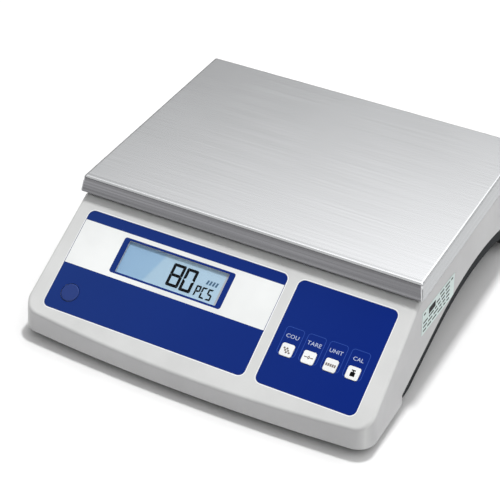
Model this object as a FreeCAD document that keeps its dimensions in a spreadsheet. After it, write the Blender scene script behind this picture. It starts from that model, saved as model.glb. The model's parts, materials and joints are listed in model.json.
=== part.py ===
"""Bench counting scale: an assembly of separate named pieces, in millimetres.

Frame: X to the user's right, Y to the back, Z up.  The origin is on the table, under the centre
of the scale.  The front stands towards -Y.
"""
import FreeCAD, Part
import math
import os
import re
import Sketcher
from FreeCAD import Placement, Rotation, Vector

# ---------------------------------------------------------------- driving dimensions
DIMENSIONS = {
    # weighing pan: folded stainless sheet with a flared flange
    "pan_width": 300, "pan_depth": 224, "pan_top": 100, "pan_sheet": 1.0,
    "pan_flange": 14, "pan_flare": 2.5, "pan_bend": 2.5, "pan_middle": 42,
    "slit_wide": 0.5, "slit_inset": 4, "slit_long": 20,
    # moulded case: plan at its lowest edge, deck and sloping front panel
    "case_half": 154.6, "case_front": -171, "case_back": 171, "case_foot": 7,
    "case_draft": 3.6, "bow_radius": 1660, "front_corner": 16, "back_corner": 13,
    "deck_top": 82, "ridge_y": -68.9, "panel_slope": 30.7, "case_edge": 3.6,
    "case_wall": 2.4,
    # base tray inside the skirt of the case
    "tray_gap": 0.3, "tray_wall": 2.4, "tray_floor": 2.6, "tray_rim": 53.5,
    "rim_clearance": 6,
    # hand grips: arched recesses in both flanks
    "grip_middle": 45, "grip_crown": 47.3, "grip_radius": 285, "grip_band": 14.2,
    "grip_slope": 16.3, "grip_front": 147, "grip_back": 102, "grip_inner": 122,
    # films and windows, measured down the panel from its top edge
    "film_recess": 0.6, "film_thick": 0.5, "film_gap": 0.25, "film_corner": 5.5,
    "left_film_x": -46.7, "left_film_wide": 182.4, "film_y": -56.8, "film_high": 90,
    "right_film_x": 95.8, "right_film_wide": 84,
    "lcd_x": -47.2, "lcd_y": -41.2, "lcd_wide": 91.7, "lcd_high": 28.7,
    "window_corner": 0.8, "window_gap": 0.2,
    # display behind its window: frame, glass, light guide and board
    "frame_wide": 14, "frame_high": 12, "frame_corner": 2, "frame_thick": 6,
    "mouth_grow": 2, "glass_grow": 1.4, "glass_thick": 2.2, "guide_thick": 3,
    "frame_gap": 0.2, "display_screw_x": 4, "display_screw_y": 3.2,
    # four keys in a row, on switches on a board of their own
    "key_first": 68.1, "key_pitch": 18.4, "key_y": -70.0, "key_size": 10.5,
    "key_corner": 2, "key_rise": 0.6, "key_fit": 0.25, "key_round": 0.35,
    "key_flange": 2.4, "key_flange_thick": 0.7, "key_sink": 0.2, "key_drop": 0.8,
    "key_stem": 1.6, "key_stem_long": 2.7, "key_stem_drop": 3.4,
    "key_post_radius": 2.6, "key_post_x": 38, "key_post_drop": 6.2, "key_post_root": 2,
    "key_board_long": 82, "key_board_wide": 18, "key_board_corner": 1.5,
    "switch_block": 6.2, "switch_block_high": 3.6, "switch_well": 1.68, "switch_well_deep": 1.6,
    # small self-tapping screws of both panel boards
    "tap_radius": 1.2, "tap_head": 2.2, "tap_head_thick": 1.4, "tap_long": 7,
    "panel_cut": 8,
    # bubble level
    "level_x": -120, "level_y": -84.7, "level_radius": 7.8, "level_gap": 0.3,
    "cup_wall": 1.4, "cup_foot": -9, "cup_high": 7.6, "lens_thick": 2, "lens_round": 1.2,
    "bubble_radius": 2.6, "bubble_thick": 1.4, "bubble_foot": -3, "bubble_drift": 1.5,
    # load cell and what carries it
    "cell_long": 130, "cell_wide": 30, "cell_high": 22, "cell_foot": 41,
    "cell_end": 50, "cell_hole": 7, "cell_span": 14, "cell_slot": 4, "cell_bore": 12,
    "cell_thread": 10, "spacer_long": 30, "bolt_pitch": 16, "bolt_radius": 3, "bolt_head": 5,
    "bolt_head_thick": 4,
    "chassis_foot": 30, "chassis_thick": 3, "chassis_long": 190, "chassis_wide": 90,
    "chassis_screw_x": 82, "chassis_screw_y": 32, "chassis_screw": 2, "chassis_screw_deep": 10,
    "chassis_head": 3.6, "chassis_head_thick": 2.6, "chassis_bore": 2.15, "chassis_boss": 6,
    "stop_gap": 0.6, "stop_radius": 4, "stop_below": 6, "stop_nut": 7.5, "stop_nut_thick": 4,
    # spider under the pan
    "spider_foot": 86, "spider_thick": 7, "arm_wide": 16, "tip_x": 134, "tip_y": 96,
    "tip_radius": 12, "cushion_radius": 9, "post_hole": 44, "arm_step": 1,
    "rib_wide": 4, "rib_high": 3.5, "hub_x": 12, "hub_long": 116, "hub_wide": 52,
    "relief_long": 34, "relief_wide": 18,
    # feet
    "foot_radius": 12, "foot_thick": 5, "foot_socket": 3, "stem_radius": 3, "stem_top": 27,
    "stem_gap": 0.4, "foot_front_x": 120, "foot_front_y": -130, "foot_back_x": 104,
    "foot_back_y": 148, "foot_boss": 8, "foot_boss_top": 22, "nut_foot": 17, "nut_radius": 5,
    "nut_gap": 0.1,
    # fits: a thread's, a through hole's, and how far a cut reaches past what it cuts
    "thread_fit": 0.05, "hole_fit": 0.1, "past": 5, "far": 20, "span": 500,
    # case screws
    "boss_split": 20, "boss_radius": 4.6, "boss_step": 1, "screw_radius": 1.5, "screw_head": 3,
    "screw_head_thick": 2.4, "screw_long": 12, "counterbore": 6, "counterbore_fit": 0.4,
    "pilot_deep": 5.5,
    # battery, its bay and the hinged door
    "battery_long": 97, "battery_wide": 52, "battery_high": 24, "battery_x": -56.5,
    "battery_y": -111, "battery_foot": 12.4, "bay_gap": 2, "bay_wall": 2, "bay_top": 24,
    "tab_x": 26, "tab_pitch": 28, "tab_y": 8, "tab_wide": 4.8, "tab_thick": 0.8, "tab_high": 6,
    "door_gap": 0.4, "door_rib_x": 30, "door_rib_wide": 3, "door_rib_long": 40,
    "trunnion_radius": 0.9, "trunnion_deep": 1.6, "trunnion_bore": 2,
    "notch_long": 22, "notch_wide": 4, "notch_y": 3, "notch_deep": 1.2,
    # main board
    "board_x": 56, "board_y": -118, "board_long": 96, "board_wide": 58, "board_foot": 16,
    "board_thick": 1.6, "board_corner": 5, "board_screw": 1.5, "board_head": 2.8,
    "board_head_thick": 1.8, "board_screw_deep": 5, "board_boss": 3.5,
    "chip_x": -8, "chip_y": 4, "chip_size": 14, "chip_thick": 1.8,
    "shield_x": 22, "shield_y": 10, "shield_long": 22, "shield_wide": 18, "shield_high": 4,
    "header_x": -40, "header_pitch": 20, "header_y": 12, "header_long": 12, "header_wide": 6,
    "header_high": 6.5, "can_x": -34, "can_pitch": 11, "parts_y": -12, "can_radius": 4,
    "can_high": 10, "buzzer_x": 24, "buzzer_radius": 6, "buzzer_high": 7,
    "buzzer_vent": 1.2, "buzzer_vent_deep": 2,
    # rear seat with the power switch and the supply socket
    "seat_face": 166.3, "seat_z": 67.5, "seat_high": 26, "seat_wide": 57, "seat_thick": 6,
    "seat_side": 2.5, "seat_rim": 1.5, "seat_proud": 2,
    "switch_x": -105, "switch_wide": 12.8, "switch_tall": 18.6, "switch_deep": 14,
    "switch_hole_side": 0.2, "switch_hole_end": 0.3, "switch_flange_wide": 15.4,
    "switch_flange_tall": 21.2, "switch_flange_thick": 1.5, "switch_well_wide": 10.6,
    "switch_well_tall": 15.2, "switch_well_back": 9.5,
    "rocker_back": 2.2, "rocker_radius": 7.2, "rocker_wide": 10, "rocker_lean": 8,
    "rocker_valley": 3.4, "shave_wide": 14, "shave_deep": 10, "shave_long": 20,
    "socket_x": -80, "socket_hole": 4.1, "socket_nose": 3.9, "nose_long": 6, "nose_proud": 0.4,
    "socket_wide": 11, "socket_deep": 12, "socket_back": 4.1, "socket_bore": 2.8,
    "socket_bore_deep": 9, "socket_pin": 1, "socket_pin_long": 8.4, "socket_pin_back": 0.8,
    # rating label on the right flank
    "label_y": -33, "label_z": 56.5, "label_long": 66, "label_high": 21, "label_turn": -3.5,
    "label_thick": 0.25, "label_lift": 0.02,
    # inner wiring
    "wire_radius": 1.2, "cable_radius": 2, "lead_side": 3,
}

doc = FreeCAD.newDocument("counting_scale")
sheet = doc.addObject("Spreadsheet::Sheet", "dims")
for row, (word, number) in enumerate(DIMENSIONS.items(), start=1):
    sheet.set(f"A{row}", word)
    sheet.set(f"B{row}", str(number))
    sheet.setAlias(f"B{row}", word)
doc.recompute()

X_AXIS, Y_AXIS, Z_AXIS = Vector(1, 0, 0), Vector(0, 1, 0), Vector(0, 0, 1)
FUNCTIONS = "sin|cos|tan|sqrt|deg"
PIECES = []
NEAR = 0.01  # the distance at which two things count as one


# ---------------------------------------------------------------- formulas and placing
def bound(text):
    """A formula in plain words, with each word made a reference to the sheet."""
    return re.sub(rf"\b(?!(?:{FUNCTIONS})\b)[a-z][a-z_]+", r"dims.\g<0>", str(text))


def size(text):
    """The number that a formula gives."""
    answer = sheet.evalExpression(bound(text))
    return float(getattr(answer, "Value", answer))


def bind(item, path, text):
    item.setExpression(path, bound(text))


def place(item, at, axis=None, angle="0"):
    """Put an object at a point, turned by an angle in degrees about one axis."""
    if axis is not None:
        item.Placement = Placement(Vector(), Rotation(axis, 1))
        bind(item, "Placement.Rotation.Angle", f"({angle}) * 1 deg")
    for letter, text in zip("xyz", at):
        bind(item, f"Placement.Base.{letter}", text)
    return item


def on_panel(item):
    """Lay an object on the sloping panel: its X stays, its Y runs up the slope."""
    return place(item, ("0", "ridge_y", "deck_top"), X_AXIS, "panel_slope")


def piece(item, node):
    """Name a finished sub-part; the label names its file."""
    item.Label = node
    PIECES.append(item)
    return item


# ---------------------------------------------------------------- solids
def box(name, extent, at, axis=None, angle="0"):
    item = doc.addObject("Part::Box", name)
    for path, text in zip(("Length", "Width", "Height"), extent):
        bind(item, path, text)
    return place(item, at, axis, angle)


def block(name, middle, extent, low, high):
    """A box centred on middle = (x, y), reaching from low to high."""
    corner = (f"({middle[0]}) - ({extent[0]}) / 2", f"({middle[1]}) - ({extent[1]}) / 2", low)
    return box(name, (extent[0], extent[1], f"({high}) - ({low})"), corner)


def cylinder(name, radius, length, at, axis=None, angle="90"):
    item = doc.addObject("Part::Cylinder", name)
    bind(item, "Radius", radius)
    bind(item, "Height", length)
    return place(item, at, axis, angle)


def peg(name, middle, radius, low, high):
    """An upright cylinder centred on middle = (x, y), reaching from low to high."""
    return cylinder(name, radius, f"({high}) - ({low})", (*middle, low))


def fuse(name, items):
    item = doc.addObject("Part::MultiFuse", name)
    item.Shapes = list(items)
    return item


def cut(name, base, tools):
    tools = list(tools)
    item = doc.addObject("Part::Cut", name)
    item.Base = base
    item.Tool = tools[0] if len(tools) == 1 else fuse(name + "_tools", tools)
    return item


def common(name, first, second):
    item = doc.addObject("Part::Common", name)
    item.Base, item.Tool = first, second
    return item


def group(name, items):
    """Identical fasteners or twin parts: one node that holds separate solids."""
    item = doc.addObject("Part::Compound", name)
    item.Links = list(items)
    return item


# ---------------------------------------------------------------- sketched bodies
def body(name):
    return doc.addObject("PartDesign::Body", name)


def sketch(holder, name, role="XY_Plane", level="0"):
    item = holder.newObject("Sketcher::SketchObject", name)
    plane = next(p for p in holder.Origin.OriginFeatures if p.Role == role)
    item.AttachmentSupport = [(plane, "")]
    item.MapMode = "FlatFace"
    bind(item, "AttachmentOffset.Base.z", level)
    return item


def measure(drawing, text, kind, *ends):
    """Add one dimension to a sketch and bind it to a formula."""
    number = size(text)
    if kind == "Angle":
        number = math.radians(number)
        text = f"({text}) * 1 deg"
    index = drawing.addConstraint(Sketcher.Constraint(kind, *ends, number))
    drawing.setExpression(f"Constraints[{index}]", bound(text))


def pin(drawing, geometry, end, x, y):
    """Fix one point of a sketch at (x, y) from its origin."""
    measure(drawing, x, "DistanceX", -1, 1, geometry, end)
    measure(drawing, y, "DistanceY", -1, 1, geometry, end)


def polygon(drawing, corners):
    """A closed outline of straight lines, each corner fixed by formulas."""
    spots = [Vector(size(x), size(y), 0) for x, y in corners]
    lines = [drawing.addGeometry(Part.LineSegment(spots[i - 1], spots[i]), False)
             for i in range(len(spots))]
    for i, line in enumerate(lines):
        after = lines[(i + 1) % len(lines)]
        drawing.addConstraint(Sketcher.Constraint("Coincident", line, 2, after, 1))
        pin(drawing, line, 2, *corners[i])


def circle(drawing, x, y, radius):
    centre = Vector(size(x), size(y), 0)
    ring = drawing.addGeometry(Part.Circle(centre, Z_AXIS, size(radius)), False)
    pin(drawing, ring, 3, x, y)
    measure(drawing, radius, "Radius", ring)


def chain_tangent(drawing, parts):
    """Join a closed run of lines and arcs end to start, smoothly."""
    for before, after in zip(parts, parts[1:] + parts[:1]):
        drawing.addConstraint(Sketcher.Constraint("Tangent", before, 2, after, 1))


def arc(centre, radius, start, end):
    ring = Part.Circle(centre, Z_AXIS, radius)
    return Part.ArcOfCircle(ring, math.radians(start), math.radians(end))


def rounded(drawing, x, y, wide, high, radius):
    """A rectangle with round corners, centred on (x, y)."""
    cx, cy, bend = size(x), size(y), size(radius)
    dx, dy = size(wide) / 2 - bend, size(high) / 2 - bend
    parts = []
    for start, sx, sy in ((-90, 1, -1), (0, 1, 1), (90, -1, 1), (180, -1, -1)):
        centre = Vector(cx + sx * dx, cy + sy * dy, 0)
        parts.append(drawing.addGeometry(arc(centre, bend, start, start + 90), False))
        turn = math.radians(start + 90)
        tip = centre + Vector(math.cos(turn), math.sin(turn), 0) * bend
        run = 2 * (dy if start in (-90, 90) else dx)
        ahead = Vector(-math.sin(turn), math.cos(turn), 0) * run
        parts.append(drawing.addGeometry(Part.LineSegment(tip, tip + ahead), False))
    chain_tangent(drawing, parts)
    for line, kind in zip(parts[1::2], ("Vertical", "Horizontal") * 2):
        drawing.addConstraint(Sketcher.Constraint(kind, line))
    for other in parts[2::2]:
        drawing.addConstraint(Sketcher.Constraint("Equal", parts[0], other))
    measure(drawing, radius, "Radius", parts[0])
    reach_x, reach_y = f"(({wide}) / 2 - ({radius}))", f"(({high}) / 2 - ({radius}))"
    pin(drawing, parts[0], 3, f"({x}) + {reach_x}", f"({y}) - {reach_y}")
    pin(drawing, parts[4], 3, f"({x}) - {reach_x}", f"({y}) + {reach_y}")


def pad(holder, name, drawing, length, taper=None, both_ways=False):
    item = holder.newObject("PartDesign::Pad", name)
    item.Profile = drawing
    item.Midplane = both_ways
    bind(item, "Length", length)
    if taper is not None:
        bind(item, "TaperAngle", f"({taper}) * 1 deg")
    holder.Tip = item
    doc.recompute()
    return item


def pocket(holder, name, drawing, length, both_ways=False):
    """Cut a sketch out of a body, and make sure that it took something away."""
    before = holder.Shape.Volume
    item = holder.newObject("PartDesign::Pocket", name)
    item.Profile = drawing
    item.Midplane = both_ways
    bind(item, "Length", length)
    holder.Tip = item
    doc.recompute()
    if holder.Shape.Volume >= before:
        raise ValueError(f"{name} cuts nothing")
    return item


def fillet(holder, name, radius, wanted):
    """Round the edges of a body that the test picks."""
    last = holder.Tip
    edges = [f"Edge{i}" for i, edge in enumerate(last.Shape.Edges, start=1) if wanted(edge)]
    item = holder.newObject("PartDesign::Fillet", name)
    item.Base = (last, edges)
    bind(item, "Radius", radius)
    holder.Tip = item
    doc.recompute()
    return item


def layer(name, outlines, level, thickness):
    """A flat piece on the panel: outlines padded from a level along the panel's normal."""
    holder = body(name)
    drawing = sketch(holder, name + "_outline", level=level)
    for kind, *values in outlines:
        (rounded if kind == "rounded" else circle)(drawing, *values)
    pad(holder, name + "_pad", drawing, thickness)
    return on_panel(holder)


# ---------------------------------------------------------------- the case's form
def plan(drawing, inset):
    """Plan of the case: bowed front, straight flanks and back, round corners."""
    half, bow = size(f"case_half - ({inset})"), size(f"bow_radius - ({inset})")
    front, back = size("front_corner") - size(inset), size("back_corner") - size(inset)
    bow_y = size("case_front + bow_radius")
    corner_x = half - front
    corner_y = bow_y - math.sqrt((bow - front) ** 2 - corner_x ** 2)
    turn = math.degrees(math.atan2(corner_y - bow_y, corner_x))
    side_y, back_x = size(f"case_back - ({inset})") - back, half - back
    shapes = [
        arc(Vector(0, bow_y, 0), bow, -180 - turn, turn),
        arc(Vector(corner_x, corner_y, 0), front, turn, 0),
        Part.LineSegment(Vector(half, corner_y, 0), Vector(half, side_y, 0)),
        arc(Vector(back_x, side_y, 0), back, 0, 90),
        Part.LineSegment(Vector(back_x, side_y + back, 0), Vector(-back_x, side_y + back, 0)),
        arc(Vector(-back_x, side_y, 0), back, 90, 180),
        Part.LineSegment(Vector(-half, side_y, 0), Vector(-half, corner_y, 0)),
        arc(Vector(-corner_x, corner_y, 0), front, 180, 180 - turn),
    ]
    parts = [drawing.addGeometry(shape, False) for shape in shapes]
    chain_tangent(drawing, parts)
    for line, kind in ((2, "Vertical"), (4, "Horizontal"), (6, "Vertical")):
        drawing.addConstraint(Sketcher.Constraint(kind, parts[line]))
    pin(drawing, parts[0], 3, "0", "case_front + bow_radius")
    measure(drawing, f"bow_radius - ({inset})", "Radius", parts[0])
    for corner, radius in ((1, "front"), (7, "front"), (3, "back"), (5, "back")):
        measure(drawing, f"{radius}_corner - ({inset})", "Radius", parts[corner])
    measure(drawing, f"case_half - ({inset})", "DistanceX", -1, 1, parts[2], 1)
    measure(drawing, f"-(case_half - ({inset}))", "DistanceX", -1, 1, parts[6], 1)
    measure(drawing, f"case_back - ({inset})", "DistanceY", -1, 1, parts[4], 1)


def case_form(name, inset, start, top, ceiling=None):
    """The case's drafted form, inset all round, from one height to another.

    With a ceiling it is also cut that far below the deck and the sloping panel.
    """
    holder = body(name)
    drawing = sketch(holder, name + "_plan", level=start)
    plan(drawing, f"({inset}) + (({start}) - case_foot) * tan(case_draft * 1 deg)")
    pad(holder, name + "_rise", drawing, f"({top}) - ({start})", taper="-case_draft")
    if ceiling is not None:
        roof = sketch(holder, name + "_roof", "YZ_Plane")
        ridge = f"ridge_y + ({ceiling}) * tan(panel_slope / 2 * 1 deg)"
        fall = f"(({ridge}) - case_front + far) * tan(panel_slope * 1 deg)"
        polygon(roof, [
            ("case_front - far", f"deck_top - ({ceiling}) - {fall}"),
            (ridge, f"deck_top - ({ceiling})"),
            ("case_back + far", f"deck_top - ({ceiling})"),
            ("case_back + far", "deck_top + 2 * far"),
            ("case_front - far", "deck_top + 2 * far"),
        ])
        pocket(holder, name + "_slope", roof, "3 * case_half", both_ways=True)
    return holder


def grip_form(name, grow):
    """The space under a grip's arch, right across the case, grown all round."""
    holder = body(name)
    drawing = sketch(holder, name + "_arch", "YZ_Plane")
    radius = f"grip_radius + ({grow})"
    low = "case_foot - far"
    middle, crown, bend = size("grip_middle"), size("grip_crown"), size(radius)
    centre = Vector(middle, crown - size("grip_radius"), 0)
    lean = math.radians(size("grip_slope"))
    foot = bend * math.sin(lean)
    rise = centre.y + bend * math.cos(lean)

    def end(side, reach):
        """Where the straight run beside the arc ends."""
        return Vector(middle + side * reach, rise - (reach - foot) * math.tan(lean), 0)

    front_end = end(-1, size(f"grip_front + ({grow})"))
    back_end = end(1, size(f"grip_back + ({grow})"))
    left, right = Vector(middle - foot, rise, 0), Vector(middle + foot, rise, 0)
    floor = size(low)
    front_low, back_low = Vector(front_end.x, floor, 0), Vector(back_end.x, floor, 0)
    shapes = [
        Part.LineSegment(front_low, front_end),
        Part.LineSegment(front_end, left),
        arc(centre, bend, 90 - size("grip_slope"), 90 + size("grip_slope")),
        Part.LineSegment(right, back_end),
        Part.LineSegment(back_end, back_low),
        Part.LineSegment(back_low, front_low),
    ]
    parts = [drawing.addGeometry(shape, False) for shape in shapes]
    drawing.addConstraint([
        Sketcher.Constraint("Coincident", parts[0], 2, parts[1], 1),
        Sketcher.Constraint("Tangent", parts[1], 2, parts[2], 2),
        Sketcher.Constraint("Tangent", parts[2], 1, parts[3], 1),
        Sketcher.Constraint("Coincident", parts[3], 2, parts[4], 1),
        Sketcher.Constraint("Coincident", parts[4], 2, parts[5], 1),
        Sketcher.Constraint("Coincident", parts[5], 2, parts[0], 1),
        Sketcher.Constraint("Vertical", parts[0]),
        Sketcher.Constraint("Vertical", parts[4]),
        Sketcher.Constraint("Horizontal", parts[5]),
    ])
    pin(drawing, parts[2], 3, "grip_middle", "grip_crown - grip_radius")
    measure(drawing, radius, "Radius", parts[2])
    measure(drawing, "grip_slope", "Angle", parts[1])
    measure(drawing, "-grip_slope", "Angle", parts[3])
    measure(drawing, f"grip_middle - grip_front - ({grow})", "DistanceX", -1, 1, parts[0], 1)
    measure(drawing, f"grip_middle + grip_back + ({grow})", "DistanceX", -1, 1, parts[4], 1)
    measure(drawing, low, "DistanceY", -1, 1, parts[5], 1)
    pad(holder, name + "_across", drawing, "3 * case_half", both_ways=True)
    return holder


KEY_NAMES = ("count", "tare", "unit", "calibrate")
KEY_ROW = "key_first + 1.5 * key_pitch"
KEY_POSTS = [f"{KEY_ROW} + {side} * key_post_x" for side in (-1, 1)]
CASE_SCREWS = (("136", "-104"), ("-136", "-104"), ("138", "156"), ("-138", "156"),
               ("0", "-156"), ("0", "158"))
FEET = {
    "front_left": ("-foot_front_x", "foot_front_y"),
    "front_right": ("foot_front_x", "foot_front_y"),
    "back_left": ("-foot_back_x", "foot_back_y"),
    "back_right": ("foot_back_x", "foot_back_y"),
}
TIPS = {
    "front_left": ("-tip_x", "pan_middle - tip_y"),
    "front_right": ("tip_x", "pan_middle - tip_y"),
    "back_left": ("-tip_x", "pan_middle + tip_y"),
    "back_right": ("tip_x", "pan_middle + tip_y"),
}
CHASSIS_SCREWS = [(f"{sx} * chassis_screw_x", f"pan_middle + ({sy} * chassis_screw_y)")
                  for sx in (-1, 1) for sy in (-1, 1)]
BOARD_CORNERS = [(f"board_x + {sx} * (board_long / 2 - board_corner)",
                  f"board_y + {sy} * (board_wide / 2 - board_corner)")
                 for sx in (-1, 1) for sy in (-1, 1)]
BAY = ("battery_long + 2 * bay_gap", "battery_wide + 2 * bay_gap")
DOOR_HINGE = ("battery_y - battery_wide / 2 - bay_gap + door_gap + tray_floor / 2",
              "case_foot + tray_floor / 2")
WINDOW = ("rounded", "lcd_x", "lcd_y", "lcd_wide", "lcd_high", "window_corner")
LEVEL_EYE = ("circle", "level_x", "level_y", "level_radius + level_gap")


def key_x(index):
    return f"key_first + {index} * key_pitch"


def key_hole(index):
    """Outline of the hole round one key, in the film and in the case alike."""
    side = "key_size + 2 * key_fit"
    return ("rounded", key_x(index), "key_y", side, side, "key_corner")


def twin(x, pitch, y):
    """Two spots side by side."""
    return [(f"{x} + {side} * ({pitch}) / 2", y) for side in (-1, 1)]


# ---------------------------------------------------------------- upper case
def make_case():
    outer = case_form("case_outer", "0", "case_foot", "deck_top + far", ceiling="0")
    slope = math.radians(size("panel_slope"))
    panel_normal = Vector(0, -math.sin(slope), math.cos(slope))

    def on_roof(edge):
        """True for an edge of the deck or of the sloping panel."""
        middle = edge.valueAt((edge.FirstParameter + edge.LastParameter) / 2)
        away = middle - Vector(0, size("ridge_y"), size("deck_top"))
        return abs(away.z) < NEAR or abs(away.dot(panel_normal)) < NEAR

    fillet(outer, "case_edges", "case_edge", on_roof)
    inner = case_form("case_inner", "case_wall", "case_foot", "deck_top + far", ceiling="case_wall")
    shell = cut("case_shell", outer, [inner])

    bosses = [peg(f"case_boss_{i}", spot, "boss_radius", "boss_split", "deck_top")
              for i, spot in enumerate(CASE_SCREWS)]
    seat_x = "(switch_x + socket_x) / 2"
    seat = block("rear_seat", (seat_x, "seat_face + seat_proud - seat_thick / 2"),
                 ("seat_wide", "seat_thick"), "seat_z - seat_high / 2", "seat_z + seat_high / 2")
    posts = [cylinder(f"key_post_{i}", "key_post_radius", "key_post_drop + key_post_root",
                      (x, "key_y", "-case_wall - key_post_drop")) for i, x in enumerate(KEY_POSTS)]
    bores = [cylinder(f"key_post_bore_{i}", "tap_radius + thread_fit", "tap_long",
                      (x, "key_y", "-case_wall - tap_long")) for i, x in enumerate(KEY_POSTS)]
    key_posts = on_panel(group("key_posts", posts))
    key_bores = on_panel(group("key_post_bores", bores))
    inside = common("case_inside", fuse("case_bosses", [*bosses, seat, key_posts]), inner)
    solid = fuse("case_solid", [shell, inside])

    arches = grip_form("case_arch", "0")
    pilots = [peg(f"case_pilot_{i}", spot, "screw_radius + thread_fit", "boss_split - past",
                  "boss_split + pilot_deep") for i, spot in enumerate(CASE_SCREWS)]
    post = block("post_opening", ("cell_end", "pan_middle"), ("post_hole", "post_hole"),
                 "deck_top - far", "deck_top + far")
    relief = block("seat_relief", (seat_x, "seat_face + past"),
                   ("seat_wide - 2 * seat_side", "2 * past"), "seat_z - seat_high / 2 + seat_rim",
                   "seat_z + seat_high / 2 - seat_rim")
    half_hole = "(switch_tall / 2 + switch_hole_end)"
    switch_hole = block("switch_hole", ("switch_x", "seat_face"),
                        ("switch_wide + 2 * switch_hole_side", "2 * far"),
                        f"seat_z - {half_hole}", f"seat_z + {half_hole}")
    socket_hole = cylinder("socket_hole", "socket_hole", "2 * far",
                           ("socket_x", "seat_face + far", "seat_z"), X_AXIS)
    films = [layer(f"{side}_recess",
                   [("rounded", f"{side}_film_x", "film_y", f"{side}_film_wide", "film_high", "film_corner")],
                   "-film_recess", "past") for side in ("left", "right")]
    holes = {"lcd_opening": WINDOW, "level_opening": LEVEL_EYE}
    holes.update({f"key_hole_{i}": key_hole(i) for i in range(len(KEY_NAMES))})
    openings = [layer(name, [outline], "-panel_cut", "2 * panel_cut") for name, outline in holes.items()]
    tools = [arches, *pilots, post, relief, switch_hole, socket_hole, key_bores, *films, *openings]
    piece(cut("upper_case_body", solid, tools), "upper_case")


# ---------------------------------------------------------------- base tray
def side_pockets(name, shrink, inner):
    """What a smaller arch leaves outside the grips' inner walls, on both flanks."""
    core = block(name + "_core", ("0", "0"), (f"2 * ({inner})", "span"), "-far", "deck_top + far")
    return cut(name + "_space", grip_form(name + "_arch", shrink), [core])


def make_tray():
    inset = "case_wall + tray_gap"
    outer = case_form("tray_outer", inset, "case_foot", "tray_rim", ceiling="case_wall + rim_clearance")
    hollow = case_form("tray_hollow", f"{inset} + tray_wall", "case_foot + tray_floor", "tray_rim + far")
    grip_walls = side_pockets("grip_wall", "tray_wall - grip_band", "grip_inner - tray_wall")
    shell = cut("tray_shell", outer, [cut("tray_cavity", hollow, [grip_walls])])

    posts = [peg(f"tray_boss_{i}", spot, "boss_radius + boss_step", "case_foot", "boss_split")
             for i, spot in enumerate(CASE_SCREWS)]
    posts += [peg(f"chassis_boss_{i}", spot, "chassis_boss", "case_foot", "chassis_foot")
              for i, spot in enumerate(CHASSIS_SCREWS)]
    posts += [peg(f"board_boss_{i}", spot, "board_boss", "case_foot", "board_foot")
              for i, spot in enumerate(BOARD_CORNERS)]
    posts += [peg(f"foot_boss_{name}", spot, "foot_boss", "case_foot", "foot_boss_top")
              for name, spot in FEET.items()]
    middle = ("battery_x", "battery_y")
    bay = block("bay_outside", middle, (f"{BAY[0]} + 2 * bay_wall", f"{BAY[1]} + 2 * bay_wall"),
                "case_foot", "bay_top")
    solid = fuse("tray_solid", [shell, bay, *posts])

    holes = [side_pockets("grip", "-grip_band", "grip_inner"),
             block("bay_space", middle, BAY, "0", "bay_top + past"),
             door_axle("door_axle_bores", "trunnion_radius + hole_fit", f"{BAY[0]} + 2 * trunnion_bore")]
    for i, spot in enumerate(CASE_SCREWS):
        holes.append(peg(f"tray_hole_{i}", spot, "screw_radius + hole_fit", "0", "boss_split + past"))
        holes.append(peg(f"tray_counterbore_{i}", spot, "screw_head + counterbore_fit", "0",
                         "case_foot + counterbore"))
    holes += [peg(f"chassis_hole_{i}", spot, "chassis_screw + thread_fit",
                  "chassis_foot - chassis_screw_deep - 2 * boss_step", "chassis_foot + past")
              for i, spot in enumerate(CHASSIS_SCREWS)]
    holes += [peg(f"board_hole_{i}", spot, "board_screw + thread_fit", "case_foot + tray_floor",
                  "board_foot + past") for i, spot in enumerate(BOARD_CORNERS)]
    for name, spot in FEET.items():
        holes.append(peg(f"stem_hole_{name}", spot, "stem_radius + stem_gap", "0", "stem_top + past"))
        holes.append(peg(f"nut_seat_{name}", spot, "nut_radius", "nut_foot", "stem_top + past"))
    piece(cut("base_tray_body", solid, holes), "base_tray")


def door_axle(name, radius, length):
    """A round bar along the battery door's hinge line."""
    start = (f"battery_x - ({length}) / 2", *DOOR_HINGE)
    return cylinder(name, radius, length, start, Y_AXIS)


def screw(name, spot, head_low, head_high, shank_low, shank_high, radius, head_radius):
    head = peg(name + "_head", spot, head_radius, head_low, head_high)
    shank = peg(name + "_shank", spot, radius, shank_low, shank_high)
    return fuse(name, [head, shank])


def make_case_screws():
    seat = "case_foot + counterbore"
    screws = [screw(f"case_screw_{i}", spot, f"{seat} - screw_head_thick", seat, seat,
                    f"{seat} + screw_long", "screw_radius", "screw_head")
              for i, spot in enumerate(CASE_SCREWS)]
    piece(group("case_screw_group", screws), "case_screws")


# ---------------------------------------------------------------- weighing pan and spider
def pan_form(name, inset, low, bend):
    """A four-sided form that widens downwards, with its top and upright edges rounded."""
    holder = body(name)
    drawing = sketch(holder, name + "_outline", level=low)
    drop = f"(pan_top - ({low})) * pan_flare / pan_flange"
    half_x = f"(pan_width / 2 - ({inset}) + {drop})"
    half_y = f"(pan_depth / 2 - ({inset}) + {drop})"
    polygon(drawing, [(f"{sx} * {half_x}", f"pan_middle + {sy} * {half_y}")
                      for sx, sy in ((-1, -1), (1, -1), (1, 1), (-1, 1))])
    taper = math.degrees(math.atan2(size("pan_flare"), size("pan_flange")))
    pad(holder, name + "_fold", drawing, f"pan_top - ({inset}) - ({low})", taper=f"-{taper:.6f}")

    def off_the_mouth(edge):
        return edge.BoundBox.ZMax > size(low) + NEAR

    fillet(holder, name + "_bend", bend, off_the_mouth)
    return holder


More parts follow.
